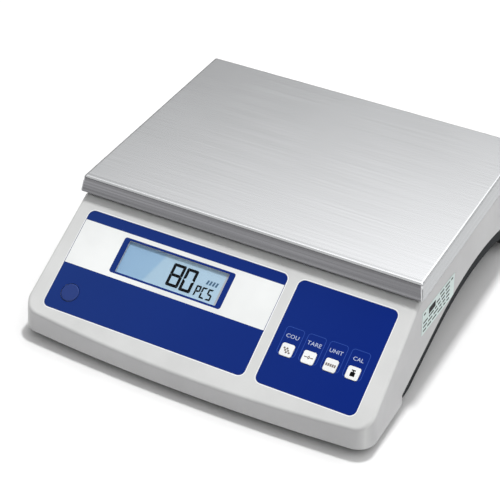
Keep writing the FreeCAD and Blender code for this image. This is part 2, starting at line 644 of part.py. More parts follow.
def make_pan():
    outer = pan_form("pan_outside", "0", "pan_top - pan_flange", "pan_bend")
    inner = pan_form("pan_inside", "pan_sheet", "pan_top - pan_flange", "pan_bend - pan_sheet")
    slits = []
    for sx in (-1, 1):
        for sy in (-1, 1):
            corner = (f"{sx} * (pan_width / 2 - slit_inset)",
                      f"pan_middle + {sy} * (pan_depth / 2 - slit_inset)", "pan_top - pan_flange - pan_sheet")
            outward = math.degrees(math.atan2(sy, sx))
            extent = ("slit_long", "slit_wide", "pan_flange - pan_bend - pan_sheet")
            slits.append(box(f"corner_slit_{sx + 1}{sy + 1}", extent, corner, Z_AXIS, f"{outward:.0f}"))
    piece(cut("pan_body", outer, [inner, *slits]), "weighing_pan")


def spider_bar(name, turn, length, wide, foot, thick):
    """A bar from the pan's middle towards one tip, level with the table."""
    lean = math.radians(turn)
    corner = (f"({wide}) / 2 * {math.sin(lean):.6f}",
              f"pan_middle - ({wide}) / 2 * {math.cos(lean):.6f}", foot)
    return box(name, (length, wide, thick), corner, Z_AXIS, f"{turn:.6f}")


def make_spider():
    low, high = "spider_foot", "spider_foot + spider_thick"
    parts = [block("spider_hub", ("hub_x", "pan_middle"), ("hub_long", "hub_wide"), low, high)]
    reach = "sqrt(tip_x * tip_x + tip_y * tip_y)"
    for name, spot in TIPS.items():
        sx, sy = (-1 if "left" in name else 1), (-1 if "front" in name else 1)
        turn = math.degrees(math.atan2(sy * size("tip_y"), sx * size("tip_x")))
        parts.append(peg(f"spider_tip_{name}", spot, "tip_radius", low, high))
        parts.append(spider_bar(f"spider_arm_{name}", turn, reach, "arm_wide", f"{low} + arm_step",
                                "spider_thick - arm_step"))
        parts.append(spider_bar(f"spider_rib_{name}", turn, f"{reach} - tip_radius", "rib_wide", high,
                                "rib_high"))
    relief = block("bolt_relief", ("cell_end", "pan_middle"), ("relief_long", "relief_wide"), high,
                   f"{high} + past")
    holes = [peg(f"spider_hole_{i}", spot, "bolt_radius + hole_fit", "spider_foot - past", f"{high} + past")
             for i, spot in enumerate(twin("cell_end", "bolt_pitch", "pan_middle"))]
    piece(cut("spider_body", fuse("spider_solid", parts), [relief, *holes]), "platform_spider")
    for name, spot in TIPS.items():
        cushion = peg(f"cushion_{name}", spot, "cushion_radius", high, "pan_top - pan_sheet")
        piece(cushion, f"pan_cushion_{name}")


def make_spacer(node, x, low, high):
    whole = block(node + "_block", (x, "pan_middle"), ("spacer_long", "cell_wide"), low, high)
    bores = [peg(f"{node}_bore_{i}", spot, "bolt_radius + hole_fit", f"{low} - past", f"{high} + past")
             for i, spot in enumerate(twin(x, "bolt_pitch", "pan_middle"))]
    piece(cut(node + "_body", whole, bores), node)


def make_load_cell():
    top, middle = "cell_foot + cell_high", "cell_foot + cell_high / 2"
    bar = block("cell_bar", ("0", "pan_middle"), ("cell_long", "cell_wide"), "cell_foot", top)
    upper_spots = twin("cell_end", "bolt_pitch", "pan_middle")
    lower_spots = twin("-cell_end", "bolt_pitch", "pan_middle")
    holes = [cylinder(f"cell_flexure_{i}", "cell_hole", "cell_wide + 2 * past",
                      (x, "pan_middle + cell_wide / 2 + past", middle), X_AXIS)
             for i, (x, _) in enumerate(twin("0", "2 * cell_span", "pan_middle"))]
    holes.append(block("cell_slot_cut", ("0", "pan_middle"), ("2 * cell_span", "cell_wide + 2 * past"),
                       f"{middle} - cell_slot / 2", f"{middle} + cell_slot / 2"))
    holes += [peg(f"cell_top_hole_{i}", spot, "bolt_radius + thread_fit", f"{top} - cell_bore",
                  f"{top} + past") for i, spot in enumerate(upper_spots)]
    holes += [peg(f"cell_low_hole_{i}", spot, "bolt_radius + thread_fit", "cell_foot - past",
                  "cell_foot + cell_bore") for i, spot in enumerate(lower_spots)]
    piece(cut("cell_body", bar, holes), "load_cell")
    make_spacer("upper_spacer", "cell_end", top, "spider_foot")
    make_spacer("lower_spacer", "-cell_end", "chassis_foot + chassis_thick", "cell_foot")

    spider_top = "spider_foot + spider_thick"
    upper = [screw(f"spider_bolt_{i}", spot, spider_top, f"{spider_top} + bolt_head_thick",
                   f"{top} - cell_thread", spider_top, "bolt_radius", "bolt_head")
             for i, spot in enumerate(upper_spots)]
    lower = [screw(f"cell_bolt_{i}", spot, "chassis_foot - bolt_head_thick", "chassis_foot", "chassis_foot",
                   "cell_foot + cell_thread", "bolt_radius", "bolt_head")
             for i, spot in enumerate(lower_spots)]
    piece(group("spider_bolt_group", upper), "spider_bolts")
    piece(group("cell_bolt_group", lower), "load_cell_bolts")


def make_chassis():
    low, high = "chassis_foot", "chassis_foot + chassis_thick"
    plate = block("chassis_blank", ("0", "pan_middle"), ("chassis_long", "chassis_wide"), low, high)
    bores = [(spot, "chassis_bore") for spot in CHASSIS_SCREWS]
    bores += [(spot, "bolt_radius + hole_fit") for spot in twin("-cell_end", "bolt_pitch", "pan_middle")]
    bores.append((("cell_end", "pan_middle"), "stop_radius + thread_fit"))
    holes = [peg(f"chassis_bore_{i}", spot, radius, f"{low} - past", f"{high} + past")
             for i, (spot, radius) in enumerate(bores)]
    piece(cut("chassis_body", plate, holes), "chassis_plate")
    screws = [screw(f"chassis_screw_{i}", spot, high, f"{high} + chassis_head_thick",
                    f"{low} - chassis_screw_deep", high, "chassis_screw", "chassis_head")
              for i, spot in enumerate(CHASSIS_SCREWS)]
    piece(group("chassis_screw_group", screws), "chassis_screws")
    stop = peg("stop_stud", ("cell_end", "pan_middle"), "stop_radius", f"{low} - stop_below",
               "cell_foot - stop_gap")
    nut = doc.addObject("Part::Prism", "stop_nut")
    nut.Polygon = 6
    bind(nut, "Circumradius", "stop_nut")
    bind(nut, "Height", "stop_nut_thick")
    place(nut, ("cell_end", "pan_middle", high))
    piece(fuse("stop_body", [stop, nut]), "overload_stop")


# ---------------------------------------------------------------- front panel
def film_outline(side):
    return ("rounded", f"{side}_film_x", "film_y", f"{side}_film_wide - 2 * film_gap",
            "film_high - 2 * film_gap", "film_corner - film_gap")


def make_films():
    level = "-film_recess"
    piece(layer("left_film", [film_outline("left"), WINDOW, LEVEL_EYE], level, "film_thick"),
          "display_film")
    holes = [key_hole(i) for i in range(len(KEY_NAMES))]
    piece(layer("right_film", [film_outline("right"), *holes], level, "film_thick"), "keypad_film")
    pane = ("rounded", "lcd_x", "lcd_y", "lcd_wide - 2 * window_gap", "lcd_high - 2 * window_gap",
            "window_corner")
    piece(layer("window_pane", [pane], level, "film_thick"), "display_window")


def tap_screws(name, spots, board, shank):
    """Screws driven up through a board under the panel; spots are (x, y) on the panel."""
    screws = []
    for i, (x, y) in enumerate(spots):
        head = cylinder(f"{name}_head_{i}", "tap_head", "tap_head_thick", (x, y, f"{board} - tap_head_thick"))
        stem = cylinder(f"{name}_shank_{i}", "tap_radius", shank, (x, y, board))
        screws.append(fuse(f"{name}_screw_{i}", [head, stem]))
    piece(on_panel(group(f"{name}_screw_group", screws)), f"{name}_screws")


def make_display():
    frame = ("rounded", "lcd_x", "lcd_y", "lcd_wide + frame_wide", "lcd_high + frame_high", "frame_corner")
    mouth = ("rounded", "lcd_x", "lcd_y", "lcd_wide + mouth_grow", "lcd_high + mouth_grow",
             "frame_corner / 2")
    glass = ("rounded", "lcd_x", "lcd_y", "lcd_wide + glass_grow", "lcd_high + glass_grow",
             "window_corner - window_gap")
    ceiling = "-case_wall - frame_gap"
    piece(layer("lcd_frame_ring", [frame, mouth], f"{ceiling} - frame_thick", "frame_thick"), "lcd_frame")
    piece(layer("lcd_pane", [glass], f"{ceiling} - glass_thick", "glass_thick"), "lcd_glass")
    piece(layer("light_guide", [glass], f"{ceiling} - glass_thick - frame_gap - guide_thick", "guide_thick"),
          "lcd_backlight")
    board = f"{ceiling} - frame_thick - frame_gap - board_thick"
    spots = [(f"lcd_x + {sx} * (lcd_wide / 2 + display_screw_x)",
              f"lcd_y + {sy} * (lcd_high / 2 + display_screw_y)") for sx in (-1, 1) for sy in (-1, 1)]
    holes = [("circle", *spot, "tap_radius + hole_fit") for spot in spots]
    piece(layer("display_pcb", [frame, *holes], board, "board_thick"), "display_board")
    tap_screws("display", spots, board, "board_thick")


def make_keys():
    under = "-case_wall"
    for index, name in enumerate(KEY_NAMES):
        spot = (key_x(index), "key_y")
        cap = layer(f"key_cap_{name}",
                    [("rounded", *spot, "key_size", "key_size", "key_corner - key_fit")],
                    f"{under} - key_sink", "case_wall + key_sink - film_recess + film_thick + key_rise")
        flange = sketch(cap, f"key_flange_{name}_outline", level=f"{under} - key_drop")
        rounded(flange, *spot, "key_size + key_flange", "key_size + key_flange", "key_corner")
        pad(cap, f"key_flange_{name}_pad", flange, "key_flange_thick")
        stem = sketch(cap, f"key_stem_{name}_outline", level=f"{under} - key_stem_drop")
        circle(stem, *spot, "key_stem")
        pad(cap, f"key_stem_{name}_pad", stem, "key_stem_long")
        top = size("film_thick - film_recess + key_rise") - NEAR
        fillet(cap, f"key_round_{name}", "key_round", lambda edge: edge.BoundBox.ZMin > top)
        piece(cap, f"key_{name}")

    board = f"{under} - key_post_drop - board_thick"
    top = f"{board} + board_thick"
    switches = []
    for index in range(len(KEY_NAMES)):
        x = key_x(index)
        case = box(f"tact_case_{index}", ("switch_block", "switch_block", "switch_block_high"),
                   (f"{x} - switch_block / 2", "key_y - switch_block / 2", top))
        well = cylinder(f"tact_well_{index}", "switch_well", "2 * switch_well_deep",
                        (x, "key_y", f"{top} + switch_block_high - switch_well_deep"))
        switches.append(cut(f"tact_switch_{index}", case, [well]))
    piece(on_panel(group("tact_switch_group", switches)), "key_switches")

    spots = [(x, "key_y") for x in KEY_POSTS]
    holes = [("circle", *spot, "tap_radius + hole_fit") for spot in spots]
    outline = ("rounded", KEY_ROW, "key_y", "key_board_long", "key_board_wide", "key_board_corner")
    piece(layer("key_pcb", [outline, *holes], board, "board_thick"), "key_board")
    tap_screws("key_board", spots, board, "tap_long")


def make_level():
    eye = ("level_x", "level_y")
    rim = "cup_foot + cup_high"
    cup = layer("level_cup_body", [("circle", *eye, "level_radius")], "cup_foot", "cup_high")
    well = sketch(cup, "level_well", level=rim)
    circle(well, *eye, "level_radius - cup_wall")
    pocket(cup, "level_well_cut", well, "cup_high - cup_wall - window_gap")
    piece(cup, "level_cup")
    lens = layer("level_lens_body", [("circle", *eye, "level_radius")], rim, "lens_thick")
    top = size(f"{rim} + lens_thick") - NEAR
    fillet(lens, "level_lens_round", "lens_round", lambda edge: edge.BoundBox.ZMin > top)
    piece(lens, "level_lens")
    bubble = ("circle", "level_x", "level_y - bubble_drift", "bubble_radius")
    piece(layer("level_bubble_body", [bubble], "bubble_foot", "bubble_thick"), "level_bubble")


# ---------------------------------------------------------------- electronics
def on_board(x, y):
    """A spot on the main board, measured from its middle."""
    return (f"board_x + {x}", f"board_y + {y}")


def make_main_board():
    low, high = "board_foot", "board_foot + board_thick"
    plate = block("main_pcb", ("board_x", "board_y"), ("board_long", "board_wide"), low, high)
    holes = [peg(f"main_pcb_hole_{i}", spot, "board_screw + hole_fit", f"{low} - past", f"{high} + past")
             for i, spot in enumerate(BOARD_CORNERS)]
    piece(cut("main_pcb_body", plate, holes), "main_board")
    screws = [screw(f"board_screw_{i}", spot, high, f"{high} + board_head_thick",
                    f"{low} - board_screw_deep", high, "board_screw", "board_head")
              for i, spot in enumerate(BOARD_CORNERS)]
    piece(group("board_screw_group", screws), "main_board_screws")
    piece(block("processor_case", on_board("chip_x", "chip_y"), ("chip_size", "chip_size"), high,
                f"{high} + chip_thick"), "processor_chip")
    piece(block("converter_case", on_board("shield_x", "shield_y"), ("shield_long", "shield_wide"), high,
                f"{high} + shield_high"), "converter_shield")
    headers = [block(f"header_{i}", on_board(f"header_x + {i} * header_pitch", "board_wide / 2 - header_y"),
                     ("header_long", "header_wide"), high, f"{high} + header_high") for i in range(2)]
    piece(group("header_group", headers), "board_headers")
    cans = [peg(f"capacitor_can_{i}", on_board(f"can_x + {i} * can_pitch", "parts_y"), "can_radius", high,
                f"{high} + can_high") for i in range(3)]
    piece(group("capacitor_group", cans), "capacitors")
    sounder = on_board("buzzer_x", "parts_y")
    top = f"{high} + buzzer_high"
    case = peg("buzzer_case", sounder, "buzzer_radius", high, top)
    vent = peg("buzzer_vent_hole", sounder, "buzzer_vent", f"{top} - buzzer_vent_deep", f"{top} + past")
    piece(cut("buzzer_body", case, [vent]), "buzzer")


def make_battery():
    middle = ("battery_x", "battery_y")
    top = "battery_foot + battery_high"
    piece(block("battery_case", middle, ("battery_long", "battery_wide"), "battery_foot", top), "battery")
    tab_spots = twin("battery_x + tab_x", "tab_pitch", "battery_y + battery_wide / 2 - tab_y")
    tabs = [block(f"battery_tab_{i}", spot, ("tab_wide", "tab_thick"), top, f"{top} + tab_high")
            for i, spot in enumerate(tab_spots)]
    piece(group("battery_tab_group", tabs), "battery_terminals")

    floor_top = "case_foot + tray_floor"
    long, wide = f"{BAY[0]} - 2 * door_gap", f"{BAY[1]} - 2 * door_gap"
    axle_y = DOOR_HINGE[0]
    plate = box("door_plate", (long, f"{wide} - tray_floor / 2", "tray_floor"),
                (f"battery_x - ({long}) / 2", axle_y, "case_foot"))
    knuckle = door_axle("door_knuckle", "tray_floor / 2", long)
    trunnions = door_axle("door_trunnions", "trunnion_radius", f"{BAY[0]} + 2 * trunnion_deep")
    ribs = [block(f"door_rib_{i}", spot, ("door_rib_wide", "door_rib_long"), floor_top, "battery_foot")
            for i, spot in enumerate(twin("battery_x", "2 * door_rib_x", "battery_y"))]
    notch = block("door_grip", ("battery_x", "battery_y + battery_wide / 2 - notch_y"),
                  ("notch_long", "notch_wide"), "case_foot - past", "case_foot + notch_deep")
    door = fuse("door_solid", [plate, knuckle, trunnions, *ribs])
    piece(cut("door_body", door, [notch]), "battery_door")


def switch_block(name, wide, tall, front, back):
    """A block round the power switch's middle line, between two distances from the seat's face."""
    return block(name, ("switch_x", f"seat_face + (({front}) + ({back})) / 2"),
                 (wide, f"({front}) - ({back})"), f"seat_z - ({tall}) / 2", f"seat_z + ({tall}) / 2")


def make_rear():
    flange = switch_block("switch_flange", "switch_flange_wide", "switch_flange_tall",
                          "switch_flange_thick", "0")
    shell = switch_block("switch_shell", "switch_wide", "switch_tall", "0", "-switch_deep")
    well = switch_block("switch_well", "switch_well_wide", "switch_well_tall", "2 * past",
                        "-switch_well_back")
    piece(cut("switch_case", fuse("switch_solid", [flange, shell]), [well]), "power_switch")

    axle_y = "seat_face - rocker_back"
    drum = cylinder("rocker_drum", "rocker_radius", "rocker_wide",
                    ("switch_x - rocker_wide / 2", axle_y, "seat_z"), Y_AXIS)
    tilt = math.radians(size("rocker_lean"))
    shaves = []
    for s in (-1, 1):
        turn = size("rocker_lean") * (1 - s)
        lean = math.radians(turn)
        start = "-shave_long" if s < 0 else "0"
        out = f"rocker_valley * {math.cos(tilt):.6f} - ({start}) * {math.sin(lean):.6f}"
        rise = f"rocker_valley * {math.sin(tilt):.6f} + ({start}) * {math.cos(lean):.6f}"
        shaves.append(box(f"rocker_shave_{s + 1}", ("shave_wide", "shave_deep", "shave_long"),
                          ("switch_x - shave_wide / 2", f"{axle_y} + {out}", f"seat_z + {rise}"),
                          X_AXIS, f"{turn}"))
    piece(cut("rocker_body", drum, shaves), "power_rocker")

    def along_socket(name, radius, length, front):
        """A round bar on the socket's axis, from a distance before the seat's face inwards."""
        return cylinder(name, radius, length, ("socket_x", f"seat_face + {front}", "seat_z"), X_AXIS)

    nose = along_socket("socket_nose_ring", "socket_nose", "nose_long", "nose_proud")
    back = block("socket_case", ("socket_x", "seat_face - socket_back - socket_deep / 2"),
                 ("socket_wide", "socket_deep"), "seat_z - socket_wide / 2", "seat_z + socket_wide / 2")
    bore = along_socket("socket_bore_hole", "socket_bore", "socket_bore_deep + 1", "1")
    centre_pin = along_socket("socket_centre_pin", "socket_pin", "socket_pin_long", "(-socket_pin_back)")
    hollow = cut("socket_hollow", fuse("socket_solid", [nose, back]), [bore])
    piece(fuse("socket_body", [hollow, centre_pin]), "supply_socket")


# ---------------------------------------------------------------- feet, label and wiring
def make_feet():
    nuts = []
    for name, spot in FEET.items():
        root = "foot_thick - foot_socket"
        disc = peg(f"foot_disc_{name}", spot, "foot_radius", "0", "foot_thick")
        socket = peg(f"foot_socket_{name}", spot, "stem_radius", root, "foot_thick + past")
        piece(cut(f"foot_rubber_{name}", disc, [socket]), f"foot_pad_{name}")
        piece(peg(f"foot_screw_{name}", spot, "stem_radius", root, "stem_top"), f"foot_stem_{name}")
        nut = peg(f"foot_nut_{name}", spot, "nut_radius - nut_gap", "nut_foot", "foot_boss_top")
        bore = peg(f"foot_thread_{name}", spot, "stem_radius + thread_fit", "nut_foot - past",
                   "foot_boss_top + past")
        nuts.append(cut(f"foot_insert_{name}", nut, [bore]))
    piece(group("foot_insert_group", nuts), "foot_nuts")


def make_label():
    """A thin sheet on the drafted right flank."""
    tag = doc.addObject("Part::Box", "label_sheet")
    for path, text in (("Length", "label_thick"), ("Width", "label_long"), ("Height", "label_high")):
        bind(tag, path, text)
    lean = Rotation(Y_AXIS, -size("case_draft")) * Rotation(X_AXIS, size("label_turn"))
    height = size("label_z")
    flank = size("case_half") - (height - size("case_foot")) * math.tan(math.radians(size("case_draft")))
    to_corner = Vector(0, -size("label_long") / 2, -size("label_high") / 2)
    middle = Vector(flank + size("label_lift"), size("label_y"), height)
    tag.Placement = Placement(middle + lean.multVec(to_corner), lean)
    piece(tag, "rating_label")


def cable(name, radius, route):
    """A round lead along straight runs joined by tangent arcs."""
    spots = [Vector(*point) for point in route]
    edges, last = [], spots[0]
    for before, corner, after in zip(spots, spots[1:], spots[2:]):
        back, ahead = (before - corner), (after - corner)
        shorter = 0.45 * min(back.Length, ahead.Length)
        back.normalize()
        ahead.normalize()
        start, end = corner + back * shorter, corner + ahead * shorter
        turn = math.pi - back.getAngle(ahead)
        bend = shorter / math.tan(turn / 2)
        inward = (back + ahead).normalize()
        centre = corner + inward * math.hypot(bend, shorter)
        middle = centre - inward * bend
        edges += [Part.LineSegment(last, start).toShape(), Part.Arc(start, middle, end).toShape()]
        last = end
    edges.append(Part.LineSegment(last, spots[-1]).toShape())
    spine = Part.Wire(edges)
    ring = Part.Wire(Part.Circle(spots[0], spots[1] - spots[0], size(radius)).toShape())
    lead = spine.makePipeShell([ring], True, False)
    expected = math.pi * size(radius) ** 2 * spine.Length
    if abs(lead.Volume - expected) > 0.01 * expected:
        raise ValueError(f"{name} is not a true tube")
    item = doc.addObject("Part::Feature", name)
    item.Shape = lead
    return item


def make_wiring():
    """Leads along points measured from the pieces that they join."""
    cell_x, cell_y = -size("cell_long") / 2, size("pan_middle")
    cell_z = size("cell_foot + cell_high / 2")
    header_x = size("board_x + header_x")
    header_y = size("board_y + board_wide / 2 - header_y")
    header_z = size("board_foot + board_thick + header_high")
    bench_z = size("chassis_foot")
    piece(cable("cell_lead", "cable_radius", [
        (cell_x, cell_y, cell_z), (cell_x - 14, cell_y, cell_z), (cell_x - 24, cell_y - 14, cell_z - 6),
        (cell_x - 18, cell_y - 38, cell_z - 14), (-50, -22, bench_z + 2), (-20, -48, bench_z),
        (6, -70, bench_z + 2), (header_x - 2, header_y + 9, bench_z + 7),
        (header_x, header_y, bench_z + 6), (header_x, header_y, header_z)]), "load_cell_cable")

    tab_y = size("battery_y + battery_wide / 2 - tab_y")
    tab_z = size("battery_foot + battery_high + tab_high")
    leads = []
    for index, side in enumerate((-1, 1)):
        tab_x = size(f"battery_x + tab_x + {side} * tab_pitch / 2")
        drop = header_x + size(f"header_pitch + {side} * lead_side")
        leads.append(cable(f"battery_lead_{index}", "wire_radius", [
            (tab_x, tab_y, tab_z), (tab_x, tab_y, tab_z + 5), (tab_x + 8, tab_y + 8, tab_z + 8),
            (tab_x + 22, tab_y + 14 - index * 4, tab_z + 6), (drop - 8, header_y + 6, tab_z + 2),
            (drop, header_y, header_z + 8), (drop, header_y, header_z)]))
    piece(group("battery_lead_group", leads), "battery_leads")


make_case()
make_tray()
make_case_screws()
make_pan()
make_spider()
make_load_cell()
make_chassis()
make_films()
make_display()
make_keys()
make_level()
make_main_board()
make_battery()
make_rear()
make_feet()
make_label()
make_wiring()
doc.recompute()

# ---------------------------------------------------------------- tests and files
failed = [item.Name for item in doc.Objects if {"Invalid", "Error"} & set(item.State)]
if failed:
    raise ValueError(f"objects that did not rebuild: {failed}")
for item in PIECES:
    if item.Shape.isNull() or not item.Shape.isValid() or item.Shape.Volume <= 0:
        raise ValueError(f"{item.Label} is not a valid solid")

os.makedirs("parts", exist_ok=True)
for item in PIECES:
    item.Shape.exportStep(f"parts/{item.Label}.step")
print(f"{len(PIECES)} sub-parts written")
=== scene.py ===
"""Looks of the bench counting scale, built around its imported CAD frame.

Everything is in metres in the CAD frame: X to the user's right, Y to the back, Z up.  Pieces on
the sloping front panel are drawn in the panel's own plane: x to the right, y up the slope from
the panel's top edge, and a level measured along the panel's outward normal.
"""

import json
import math

import bpy
from mathutils import Matrix, Vector


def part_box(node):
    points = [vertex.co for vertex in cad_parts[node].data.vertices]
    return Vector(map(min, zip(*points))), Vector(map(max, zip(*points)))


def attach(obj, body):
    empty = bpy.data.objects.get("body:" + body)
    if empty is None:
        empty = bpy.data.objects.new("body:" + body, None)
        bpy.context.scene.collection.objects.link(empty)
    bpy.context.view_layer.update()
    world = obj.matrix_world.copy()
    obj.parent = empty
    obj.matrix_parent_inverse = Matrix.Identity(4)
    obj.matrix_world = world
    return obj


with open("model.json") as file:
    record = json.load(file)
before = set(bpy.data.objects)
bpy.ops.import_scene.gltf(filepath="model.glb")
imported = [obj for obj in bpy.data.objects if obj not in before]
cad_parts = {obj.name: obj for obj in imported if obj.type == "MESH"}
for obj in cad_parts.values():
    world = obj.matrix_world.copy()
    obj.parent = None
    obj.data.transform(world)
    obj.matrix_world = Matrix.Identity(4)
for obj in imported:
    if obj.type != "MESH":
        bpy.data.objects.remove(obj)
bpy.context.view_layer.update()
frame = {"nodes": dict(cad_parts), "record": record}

MM = 0.001
BLACK_TONE, WHITE_TONE = (0, 0, 0), (1, 1, 1)

# ---------------------------------------------------------------- places on the object
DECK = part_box("upper_case")[1].z
RIDGE_Y = -68.9 * MM
SLOPE = math.radians(30.7)
PANEL = Matrix.Translation((0, RIDGE_Y, DECK)) @ Matrix.Rotation(SLOPE, 4, "X")
FILM_TOP = -0.1 * MM
GLASS_TOP = -2.6 * MM
KEY_TOP = 0.5 * MM
INK = 0.05 * MM
GLASS_GAP = 0.02 * MM
DRAFT = math.radians(3.6)
PAN_BEND = 2.5 * MM
PAN_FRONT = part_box("weighing_pan")[0].y + PAN_BEND

# ---------------------------------------------------------------- camera
CAMERA_AT = (0.4543, -0.9479, 0.8107)
AZIMUTH, ELEVATION, ROLL = math.radians(27.13), math.radians(36.54), math.radians(1.22)
FOCAL_MM, SENSOR_MM = 112.0, 36
NEAREST, FARTHEST = 0.05, 20


def make_camera():
    """The photograph's viewpoint: in front, to the right and above, with a slight roll."""
    sa, ca, se, ce = math.sin(AZIMUTH), math.cos(AZIMUTH), math.sin(ELEVATION), math.cos(ELEVATION)
    ahead = Vector((-sa * ce, ca * ce, -se))
    right = Vector((ca, sa, 0))
    above = right.cross(ahead)
    tilted_right = right * math.cos(ROLL) + above * math.sin(ROLL)
    tilted_above = above * math.cos(ROLL) - right * math.sin(ROLL)
    data = bpy.data.cameras.new("camera")
    data.sensor_width = SENSOR_MM
    data.lens = FOCAL_MM
    data.clip_start, data.clip_end = NEAREST, FARTHEST
    camera = bpy.data.objects.new("camera", data)
    bpy.context.scene.collection.objects.link(camera)
    axes = Matrix((tilted_right, tilted_above, -ahead)).transposed().to_4x4()
    camera.matrix_world = Matrix.Translation(CAMERA_AT) @ axes
    bpy.context.scene.camera = camera


# ---------------------------------------------------------------- material kit
# Scales of the noises, in cells per metre.
CLOUD, SMUDGE, RUBBED, HAZE, INK_CLOUD = 35, 18, 22, 25, 14
SPARK_GRAIN, PEEL_GRAIN, GLASS_GRAIN = 1800, 2600, 900
SHEET_GRAIN, SHEET_LINES, STREAK, BROAD_STREAK, TRACKS = 700, 520, 900, 60, 160

# Stretches of the noises along X, Y and Z: a small number draws them out.
DRAWN_X, LINES_X, LINES_Y, TRACKS_Y = (0.012, 1, 0.6), (0.004, 0.3, 1), (0.3, 0.004, 1), (1, 0.15, 1)


def new_material(name):
    """A material, its node tree, its Principled shader and object coordinates in metres."""
    made = bpy.data.materials.new(name)
    made.use_nodes = True
    tree = made.node_tree
    shader = tree.nodes["Principled BSDF"]
    place = tree.nodes.new("ShaderNodeTexCoord").outputs["Object"]
    return made, tree, shader, place


def noise(tree, place, scale, detail=3.0, stretch=(1, 1, 1)):
    """Noise of so many cells per metre, which can be stretched along an axis."""
    mapping = tree.nodes.new("ShaderNodeMapping")
    mapping.inputs["Scale"].default_value = stretch
    tree.links.new(place, mapping.inputs["Vector"])
    made = tree.nodes.new("ShaderNodeTexNoise")
    made.inputs["Scale"].default_value = scale
    made.inputs["Detail"].default_value = detail
    tree.links.new(mapping.outputs["Vector"], made.inputs["Vector"])
    return made.outputs["Fac"]


def ramp(tree, value, stops):
    """Turn a value into a colour: stops are (position, (r, g, b))."""
    made = tree.nodes.new("ShaderNodeValToRGB")
    bar = made.color_ramp
    while len(bar.elements) < len(stops):
        bar.elements.new(0.5)
    for element, (position, colour) in zip(bar.elements, stops):
        element.position = position
        element.color = (*colour, 1)
    tree.links.new(value, made.inputs["Fac"])
    return made.outputs["Color"]


def spread(tree, value, low, high):
    """Stretch a value from 0..1 to low..high."""
    made = tree.nodes.new("ShaderNodeMapRange")
    made.inputs["To Min"].default_value = low
    made.inputs["To Max"].default_value = high
    tree.links.new(value, made.inputs["Value"])
    return made.outputs["Result"]


def two_tone(tree, value, colour, amount, start=0.35, end=0.65):
    """A colour that goes from darker to lighter by the same share, as a value rises."""
    return ramp(tree, value, [(start, shade(colour, -amount)), (end, shade(colour, amount))])


def bump(tree, shader, height, strength, distance):
    """Roughen a shader by a height, over a distance in metres."""
    made = tree.nodes.new("ShaderNodeBump")
    made.inputs["Strength"].default_value = strength
    made.inputs["Distance"].default_value = distance
    tree.links.new(height, made.inputs["Height"])
    tree.links.new(made.outputs["Normal"], shader.inputs["Normal"])


def shade(colour, amount):
    """A colour made lighter or darker by a share of itself."""
    return tuple(min(1.0, channel * (1 + amount)) for channel in colour)


def moulded(name, colour, roughness, grain=SPARK_GRAIN, depth=0.02, mottle=0.035, spec=0.5):
    """Moulded plastic or rubber: fine spark-eroded grain and faint unevenness of colour."""
    made, tree, shader, place = new_material(name)
    tone = two_tone(tree, noise(tree, place, CLOUD, 4), colour, mottle)
    tree.links.new(tone, shader.inputs["Base Color"])
    fine = noise(tree, place, grain, 2)
    tree.links.new(spread(tree, fine, roughness - 0.07, roughness + 0.07), shader.inputs["Roughness"])
    shader.inputs["Specular IOR Level"].default_value = spec
    bump(tree, shader, fine, 0.35, depth * MM)
    return made


def facing_share(tree, axis, low, high):
    """Black where a surface faces away from an axis, white where it faces along it."""
    normal = tree.nodes.new("ShaderNodeSeparateXYZ")
    tree.links.new(tree.nodes.new("ShaderNodeTexCoord").outputs["Normal"], normal.inputs["Vector"])
    size = tree.nodes.new("ShaderNodeMath")
    size.operation = "ABSOLUTE"
    tree.links.new(normal.outputs[axis], size.inputs[0])
    return ramp(tree, size.outputs["Value"], [(low, BLACK_TONE), (high, WHITE_TONE)])


def mix(tree, share, first, second):
    """The first colour where the share is 0, the second where it is 1."""
    made = tree.nodes.new("ShaderNodeMix")
    made.data_type = "RGBA"
    tree.links.new(share, made.inputs["Factor"])
    tree.links.new(first, made.inputs["A"])
    tree.links.new(second, made.inputs["B"])
    return made.outputs["Result"]


def case_plastic(name, colour, flank, front):
    """White moulded plastic with painted shade: a little greyer on the upright walls, greyest on those facing
    front and back. It has a spark-eroded grain, a faint unevenness and a few rubbed patches that shine more."""
    made, tree, shader, place = new_material(name)
    cloud = noise(tree, place, CLOUD, 4)
    flat, side, wall = (two_tone(tree, cloud, tint, 0.03) for tint in (colour, flank, front))
    # Painted shade: walls facing sideways take the flank tone, walls facing front and back the darker front
    # tone.
    tone = mix(tree, facing_share(tree, "X", 0.70, 0.95), flat, side)
    tone = mix(tree, facing_share(tree, "Y", 0.70, 0.95), tone, wall)
    tree.links.new(tone, shader.inputs["Base Color"])
    rubbed = noise(tree, place, RUBBED, 5)
    tree.links.new(spread(tree, rubbed, 0.36, 0.56), shader.inputs["Roughness"])
    shader.inputs["Specular IOR Level"].default_value = 0.35
    bump(tree, shader, noise(tree, place, SPARK_GRAIN, 2), 0.35, 0.02 * MM)
    return made


def brushed(name, colour, low, high, stretch, strength=0.25):
    """Metal with fine scratches drawn along one axis."""
    made, tree, shader, place = new_material(name)
    streak = noise(tree, place, STREAK, 5, stretch)
    broad = noise(tree, place, BROAD_STREAK, 3, stretch)
    tone = ramp(tree, streak, [(0.3, shade(colour, -0.06)), (0.7, shade(colour, 0.04))])
    tree.links.new(tone, shader.inputs["Base Color"])
    tree.links.new(spread(tree, broad, low, high), shader.inputs["Roughness"])
    shader.inputs["Metallic"].default_value = 1.0
    bump(tree, shader, streak, strength, 0.01 * MM)
    return made


def along(tree, place, axis, low, high):
    """0 at one place along an axis and 1 at another, in metres."""
    split = tree.nodes.new("ShaderNodeSeparateXYZ")
    tree.links.new(place, split.inputs["Vector"])
    return between(tree, split.outputs[axis], low, high)


def between(tree, value, low, high):
    """Stretch a value from low..high to 0..1."""
    made = tree.nodes.new("ShaderNodeMapRange")
    made.inputs["From Min"].default_value = low
    made.inputs["From Max"].default_value = high
    tree.links.new(value, made.inputs["Value"])
    return made.outputs["Result"]


